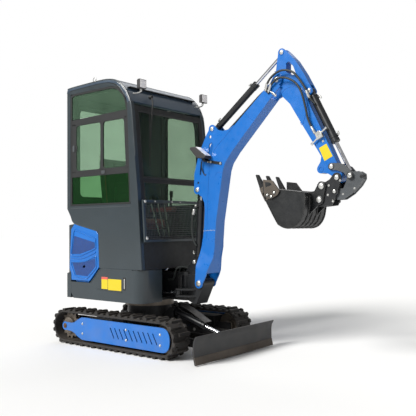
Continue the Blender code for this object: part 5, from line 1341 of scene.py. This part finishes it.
def cab_roof():
    for side, word in ((-1, "right"), (1, "left")):
        x, y, z = 0.309, side * 0.3865, 2.135
        case = Shape()
        case.prism([(x - 0.028, y - 0.034, z - 0.031), (x - 0.028, y + 0.034, z - 0.031),
                    (x - 0.028, y + 0.034, z + 0.034), (x - 0.028, y - 0.034, z + 0.034)],
                   (0.012, 0, 0))
        case.box((x - 0.017, x + 0.008), (y - 0.038, y + 0.038), (z - 0.035, z + 0.038))
        for i in range(5):
            case.box((x - 0.030, x - 0.020), (y - 0.030 + i * 0.0135, y - 0.0265 + i * 0.0135),
                     (z - 0.030, z + 0.033))
        emit(case, f"{word}_lamp_case", "house", LAMP_CASE, 0.002,
             replaces=(f"{word}_work_light",))
        lens = Shape()
        lens.prism([(x + 0.0075, y - 0.033, z - 0.030), (x + 0.0075, y + 0.033, z - 0.030),
                    (x + 0.0075, y + 0.033, z + 0.033), (x + 0.0075, y - 0.033, z + 0.033)],
                   (0.003, 0, 0))
        for a in (-0.016, 0.016):
            for b in (-0.014, 0.017):
                lens.turned((x + 0.010, y + a, z + b), (1, y + a, z + b),
                            [(0, 0.0125), (0.0018, 0.0105), (0.0022, 0.0)], 14)
        emit(lens, f"{word}_lamp_lens", "house", LENS, 0.0006)
        bracket = Shape()
        bracket.swept([(x - 0.012, y, z - 0.033), (x - 0.012, y, z - 0.050),
                       (x - 0.026, y, z - 0.060), (x - 0.066, y, z - 0.064),
                       (x - 0.104, y, z - 0.060)], 0.0065, 10, 4)
        bracket.bolt((x - 0.012, y - 0.006, z - 0.044), (0, -1, 0), 0.0075)
        emit(bracket, f"{word}_lamp_bracket", "house", ZINC)
        gutter = Shape()
        line = [(a, side * (HALF_WIDTH - 0.0060), b - 0.006) for a, b in ROOF_LINE]
        gutter.swept([(0.288, line[0][1], 1.560), (0.258, line[0][1], 1.880),
                      (0.247, line[0][1], 1.960)] + line, 0.0070, 8, 3)
        emit(gutter, f"{word}_roof_edge", "house", GREY)
        joint = Shape()
        joint.swept([(-0.540, side * (HALF_WIDTH + 0.0002), 2.1690)]
                    + [(a, side * (HALF_WIDTH + 0.0002), b - 0.0320) for a, b in
                       ((-0.500, 2.216), (-0.150, 2.224), (-0.025, 2.217), (0.060, 2.192),
                        (0.118, 2.150), (0.168, 2.088), (0.205, 2.010))], 0.0020, 6, 3)
        emit(joint, f"{word}_roof_joint", "house", SEAL)
    for y, name in ((-0.422, "roof_eye_bolt"), (0.422, "left_roof_eye_bolt")):
        eye = Shape()
        eye.turned((-0.225, y, 2.2180), (-0.225, y, 3), [(0, 0.011), (0.008, 0.011),
                                                         (0.009, 0.006), (0.012, 0.006)], 14)
        eye.swept([(-0.225 + 0.0175 * math.sin(a), y, 2.2475 - 0.0175 * math.cos(a))
                   for a in [math.pi * i / 6 for i in range(13)]], 0.0035, 8, 2)
        emit(eye, name, "house", ZINC)


def cab_inside():
    levers = Shape()
    for top, bottom in (((0.150, -0.144, 1.222), (0.175, 0.025, 0.720)),
                        ((0.150, -0.059, 1.225), (0.185, 0.060, 0.720)),
                        ((0.150, 0.020, 1.222), (0.190, 0.100, 0.720))):
        levers.swept([bottom, tuple((a + b) / 2 for a, b in zip(top, bottom)), top], 0.0065, 10, 4)
    emit(levers, "lever_rods", "house", ZINC)
    knobs = Shape()
    for x, y, z in ((0.150, -0.144, 1.222), (0.150, -0.059, 1.225), (0.150, 0.020, 1.222),
                    (-0.050, -0.340, 1.300), (-0.050, 0.340, 1.300)):
        knobs.turned((x, y, z - 0.035), (x, y, z + 1),
                     [(0, 0.008), (0.006, 0.014), (0.040, 0.017), (0.056, 0.015), (0.062, 0.008),
                      (0.064, 0.0)], 16)
    emit(knobs, "lever_knobs", "house", PLASTIC)
    boots = Shape()
    for y in (-0.345, 0.345):
        boots.turned((-0.072, y, 1.128), (-0.060, y, 1.230),
                     [(0, 0.034), (0.010, 0.030), (0.014, 0.032), (0.024, 0.024), (0.028, 0.026),
                      (0.038, 0.018), (0.042, 0.020), (0.055, 0.013)], 20)
    emit(boots, "lever_boots", "house", SEAL)
    lining = Shape()
    lining.box((-0.500, 0.190), (-0.405, 0.405), (2.128, 2.134))
    emit(lining, "roof_lining", "house", PLASTIC, 0.002)
    red = Shape()
    for side in (-1, 1):
        red.plate([(-0.300, 1.135), (-0.030, 1.135), (-0.015, 1.160), (-0.030, 1.175),
                   (-0.300, 1.175)], *sorted((side * 0.305, side * 0.385)))
    emit(red, "arm_rests", "house", SEAT_RED, 0.010)


def engine():
    low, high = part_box("engine")
    x0, x1 = low.x - SLEW_X, high.x - SLEW_X
    shape = Shape()
    shape.box((x0 + 0.02, x1 - 0.02), (low.y + 0.04, high.y - 0.04), (low.z, low.z + 0.075))
    shape.box((x0 + 0.045, x1 - 0.045), (low.y + 0.06, high.y - 0.06),
              (low.z + 0.070, high.z - 0.11))
    shape.box((x0 + 0.060, x1 - 0.060), (low.y + 0.05, high.y - 0.07),
              (high.z - 0.115, high.z - 0.060))
    shape.box((x0 + 0.085, x1 - 0.085), (low.y + 0.09, high.y - 0.10),
              (high.z - 0.062, high.z - 0.020))
    shape.turned((x0 + 0.175, low.y, low.z + 0.17), (x0 + 0.175, high.y, low.z + 0.17),
                 [(0, 0.055), (0.008, 0.085), (0.020, 0.085), (0.022, 0.06), (0.055, 0.06)], 28)
    shape.turned((x0 + 0.19, high.y - 0.06, low.z + 0.18), (x0 + 0.19, high.y, low.z + 0.18),
                 [(0, 0.12), (0.035, 0.12), (0.050, 0.09), (0.060, 0.09)], 32)
    for i in range(3):
        y = low.y + 0.11 + i * 0.075
        shape.turned((x0 + 0.15, y, high.z - 0.03), (x0 + 0.15, y, high.z), [(0, 0.018),
                                                                            (0.024, 0.018),
                                                                            (0.028, 0.012)], 14)
    shape.turned((x0 + 0.28, low.y + 0.07, high.z - 0.10), (x0 + 0.28, high.y, high.z - 0.10),
                 [(0, 0.040), (0.006, 0.046), (0.18, 0.046), (0.186, 0.040)], 24)
    emit(shape, "engine_block", "house", ENGINE, 0.004, replaces=("engine",))


# ---------------------------------------------------------------- seat

def pad(name, outline, half, material, node_name, channels, cap):
    """A stuffed pad: a closed form blown up like cloth, with sewn channels pressed in."""
    shape = Shape().plate(outline, -half, half)
    mesh = shape.mesh
    bmesh.ops.recalc_face_normals(mesh, faces=mesh.faces)
    bmesh.ops.translate(mesh, verts=mesh.verts, vec=(SLEW_X, 0, 0))
    data = bpy.data.meshes.new(name)
    mesh.to_mesh(data)
    mesh.free()
    piece = bpy.data.objects.new(name, data)
    bpy.context.scene.collection.objects.link(piece)
    corners = piece.modifiers.new("Soft corners", "BEVEL")
    corners.width = 0.016
    corners.segments = 3
    remesh = piece.modifiers.new("Even cloth", "REMESH")
    remesh.mode = "VOXEL"
    remesh.voxel_size = 0.0065
    piece.data = final_mesh(piece)
    piece.modifiers.clear()
    before = [v.co.copy() for v in piece.data.vertices]
    cloth = piece.modifiers.new("Cloth", "CLOTH")
    cloth.settings.use_pressure = True
    cloth.settings.uniform_pressure_force = 4.0
    cloth.settings.effector_weights.gravity = 0.0
    cloth.settings.quality = 5
    for number in range(1, 21):
        bpy.context.scene.frame_set(number)
    piece.data = final_mesh(piece)
    piece.modifiers.clear()
    bpy.context.scene.frame_set(1)
    low = Vector(min(v[i] for v in before) for i in range(3))
    high = Vector(max(v[i] for v in before) for i in range(3))
    for corner, rest in zip(piece.data.vertices, before):
        move = corner.co - rest
        if move.length > cap:
            corner.co = rest + move.normalized() * cap
        for i in range(3):
            corner.co[i] = min(max(corner.co[i], low[i] - cap * 0.5), high[i] + cap * 0.5)
    normals = [v.normal.copy() for v in piece.data.vertices]
    for corner, normal in zip(piece.data.vertices, normals):
        depth = sum(channel(corner.co, normal) for channel in channels)
        corner.co -= normal * depth
    round_off = piece.modifiers.new("Smooth cloth", "SUBSURF")
    round_off.levels = 1
    round_off.render_levels = 1
    piece.data = final_mesh(piece)
    piece.modifiers.clear()
    piece.data.materials.clear()
    piece.data.materials.append(material)
    piece.data.shade_smooth()
    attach(piece, "house")
    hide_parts(node_name)


def final_mesh(piece):
    bpy.context.view_layer.update()
    return bpy.data.meshes.new_from_object(
        piece.evaluated_get(bpy.context.evaluated_depsgraph_get()))


def seat():
    def groove(distance, width, depth):
        return depth * math.exp(-(distance / width) ** 2)

    def cushion_seams(place, normal):
        if normal.z < 0.3:
            return 0.0
        x = place.x - SLEW_X
        return max(groove(abs(place.y) - 0.110, 0.006, 0.007),
                   groove(x + 0.09, 0.006, 0.006) if abs(place.y) < 0.11 else 0.0,
                   groove(x + 0.20, 0.006, 0.006) if abs(place.y) < 0.11 else 0.0)

    def back_seams(place, normal):
        if normal.x < 0.3:
            return 0.0
        rows = (1.20, 1.30, 1.40, 1.50)
        across = max(groove(place.z - z, 0.006, 0.006) for z in rows)
        return max(groove(abs(place.y) - 0.100, 0.006, 0.007),
                   across if abs(place.y) < 0.10 else 0.0)

    pad("seat_cushion_pad",
        [(-0.350, 1.000), (-0.060, 0.976), (0.012, 0.988), (0.032, 1.018), (0.020, 1.050),
         (-0.040, 1.062), (-0.325, 1.064), (-0.350, 1.046)],
        0.222, SEAT_RED, "seat_cushion", [cushion_seams], 0.010)
    pad("seat_back_pad",
        [(-0.330, 1.096), (-0.302, 1.096), (-0.356, 1.548), (-0.378, 1.605), (-0.418, 1.624),
         (-0.442, 1.592), (-0.438, 1.500), (-0.392, 1.100)],
        0.202, SEAT_BLACK, "seat_back", [back_seams], 0.010)
    piping = Shape()
    for side in (-1, 1):
        y = side * 0.206
        piping.swept([(x, y, z) for x, z in
                      ((-0.298, 1.110), (-0.318, 1.250), (-0.334, 1.400), (-0.350, 1.545),
                       (-0.372, 1.604), (-0.412, 1.628))], 0.0055, 8, 4)
    emit(piping, "seat_piping", "house", SEAT_RED)
    belt = Shape()
    for side in (-1, 1):
        belt.swept([(-0.300, side * 0.246, 1.020), (-0.262, side * 0.242, 1.085),
                    (-0.200, side * 0.215, 1.092)], 0.007, 6, 4)
        belt.box((-0.225, -0.165), sorted((side * 0.190, side * 0.222)), (1.082, 1.102))
    emit(belt, "seat_belt", "house", PLASTIC, 0.002)


# ---------------------------------------------------------------- studio

def studio():
    mesh = bpy.data.meshes.new("floor")
    builder = bmesh.new()
    bmesh.ops.create_circle(builder, cap_ends=True, segments=96, radius=60.0)
    builder.to_mesh(mesh)
    builder.free()
    floor = bpy.data.objects.new("floor", mesh)
    bpy.context.scene.collection.objects.link(floor)
    paper = bpy.data.materials.new("pale floor")
    paper.use_nodes = True
    shader = paper.node_tree.nodes["Principled BSDF"]
    shader.inputs["Base Color"].default_value = (0.90, 0.90, 0.90, 1)
    shader.inputs["Roughness"].default_value = 1.0
    shader.inputs["Specular IOR Level"].default_value = 0.0
    mesh.materials.append(paper)

    world = bpy.data.worlds.new("studio")
    bpy.context.scene.world = world
    world.use_nodes = True
    tree = world.node_tree
    seen = node(tree, "LightPath").outputs["Is Camera Ray"]
    tree.links.new(ranged(tree, seen, 0.0, 1.0, 0.30, 1.0),
                   tree.nodes["Background"].inputs["Strength"])
    tree.nodes["Background"].inputs["Color"].default_value = (1.0, 1.0, 1.0, 1)
    for name, place, power, spread, tint in (
            ("key", (-1.6, -5.2, 3.9), 3.9, 24, (1.0, 0.99, 0.96)),
            ("rim", (-2.0, 4.0, 5.0), 0.5, 40, (0.95, 0.97, 1.0)),
            ("fill", (5.0, -1.5, 2.5), 0.10, 60, (1.0, 1.0, 1.0))):
        data = bpy.data.lights.new(name, "SUN")
        data.angle = math.radians(spread)
        data.energy = power
        data.color = tint
        lamp = bpy.data.objects.new(name, data)
        bpy.context.scene.collection.objects.link(lamp)
        lamp.location = place
        lamp.rotation_euler = (-Vector(place)).to_track_quat("-Z", "Y").to_euler()


def camera():
    turn, tilt, roll = (math.radians(a) for a in (39.0604, -1.7772, -0.4455))
    back = Vector((math.sin(turn) * math.cos(tilt), -math.cos(turn) * math.cos(tilt),
                   math.sin(tilt)))
    right = (-back).cross(Vector((0, 0, 1))).normalized()
    up = right.cross(-back)
    right, up = (math.cos(roll) * right + math.sin(roll) * up,
                 -math.sin(roll) * right + math.cos(roll) * up)
    data = bpy.data.cameras.new("camera")
    data.lens = 53.55
    data.sensor_width = 36
    made = bpy.data.objects.new("camera", data)
    bpy.context.scene.collection.objects.link(made)
    made.matrix_world = Matrix.Translation((3.7987 + SLEW_X, -3.8677, 0.9902)) @ Matrix(
        (right, up, back)).transposed().to_4x4()
    bpy.context.scene.camera = made


studio()
camera()
dress_cad()
undercarriage()
blade()
hydraulics()
boom_details()
link_details()
bucket_details()
panels()
cab_windows()
cab_front()
cab_roof()
cab_inside()
engine()
seat()

bpy.context.scene.view_settings.view_transform = "Standard"
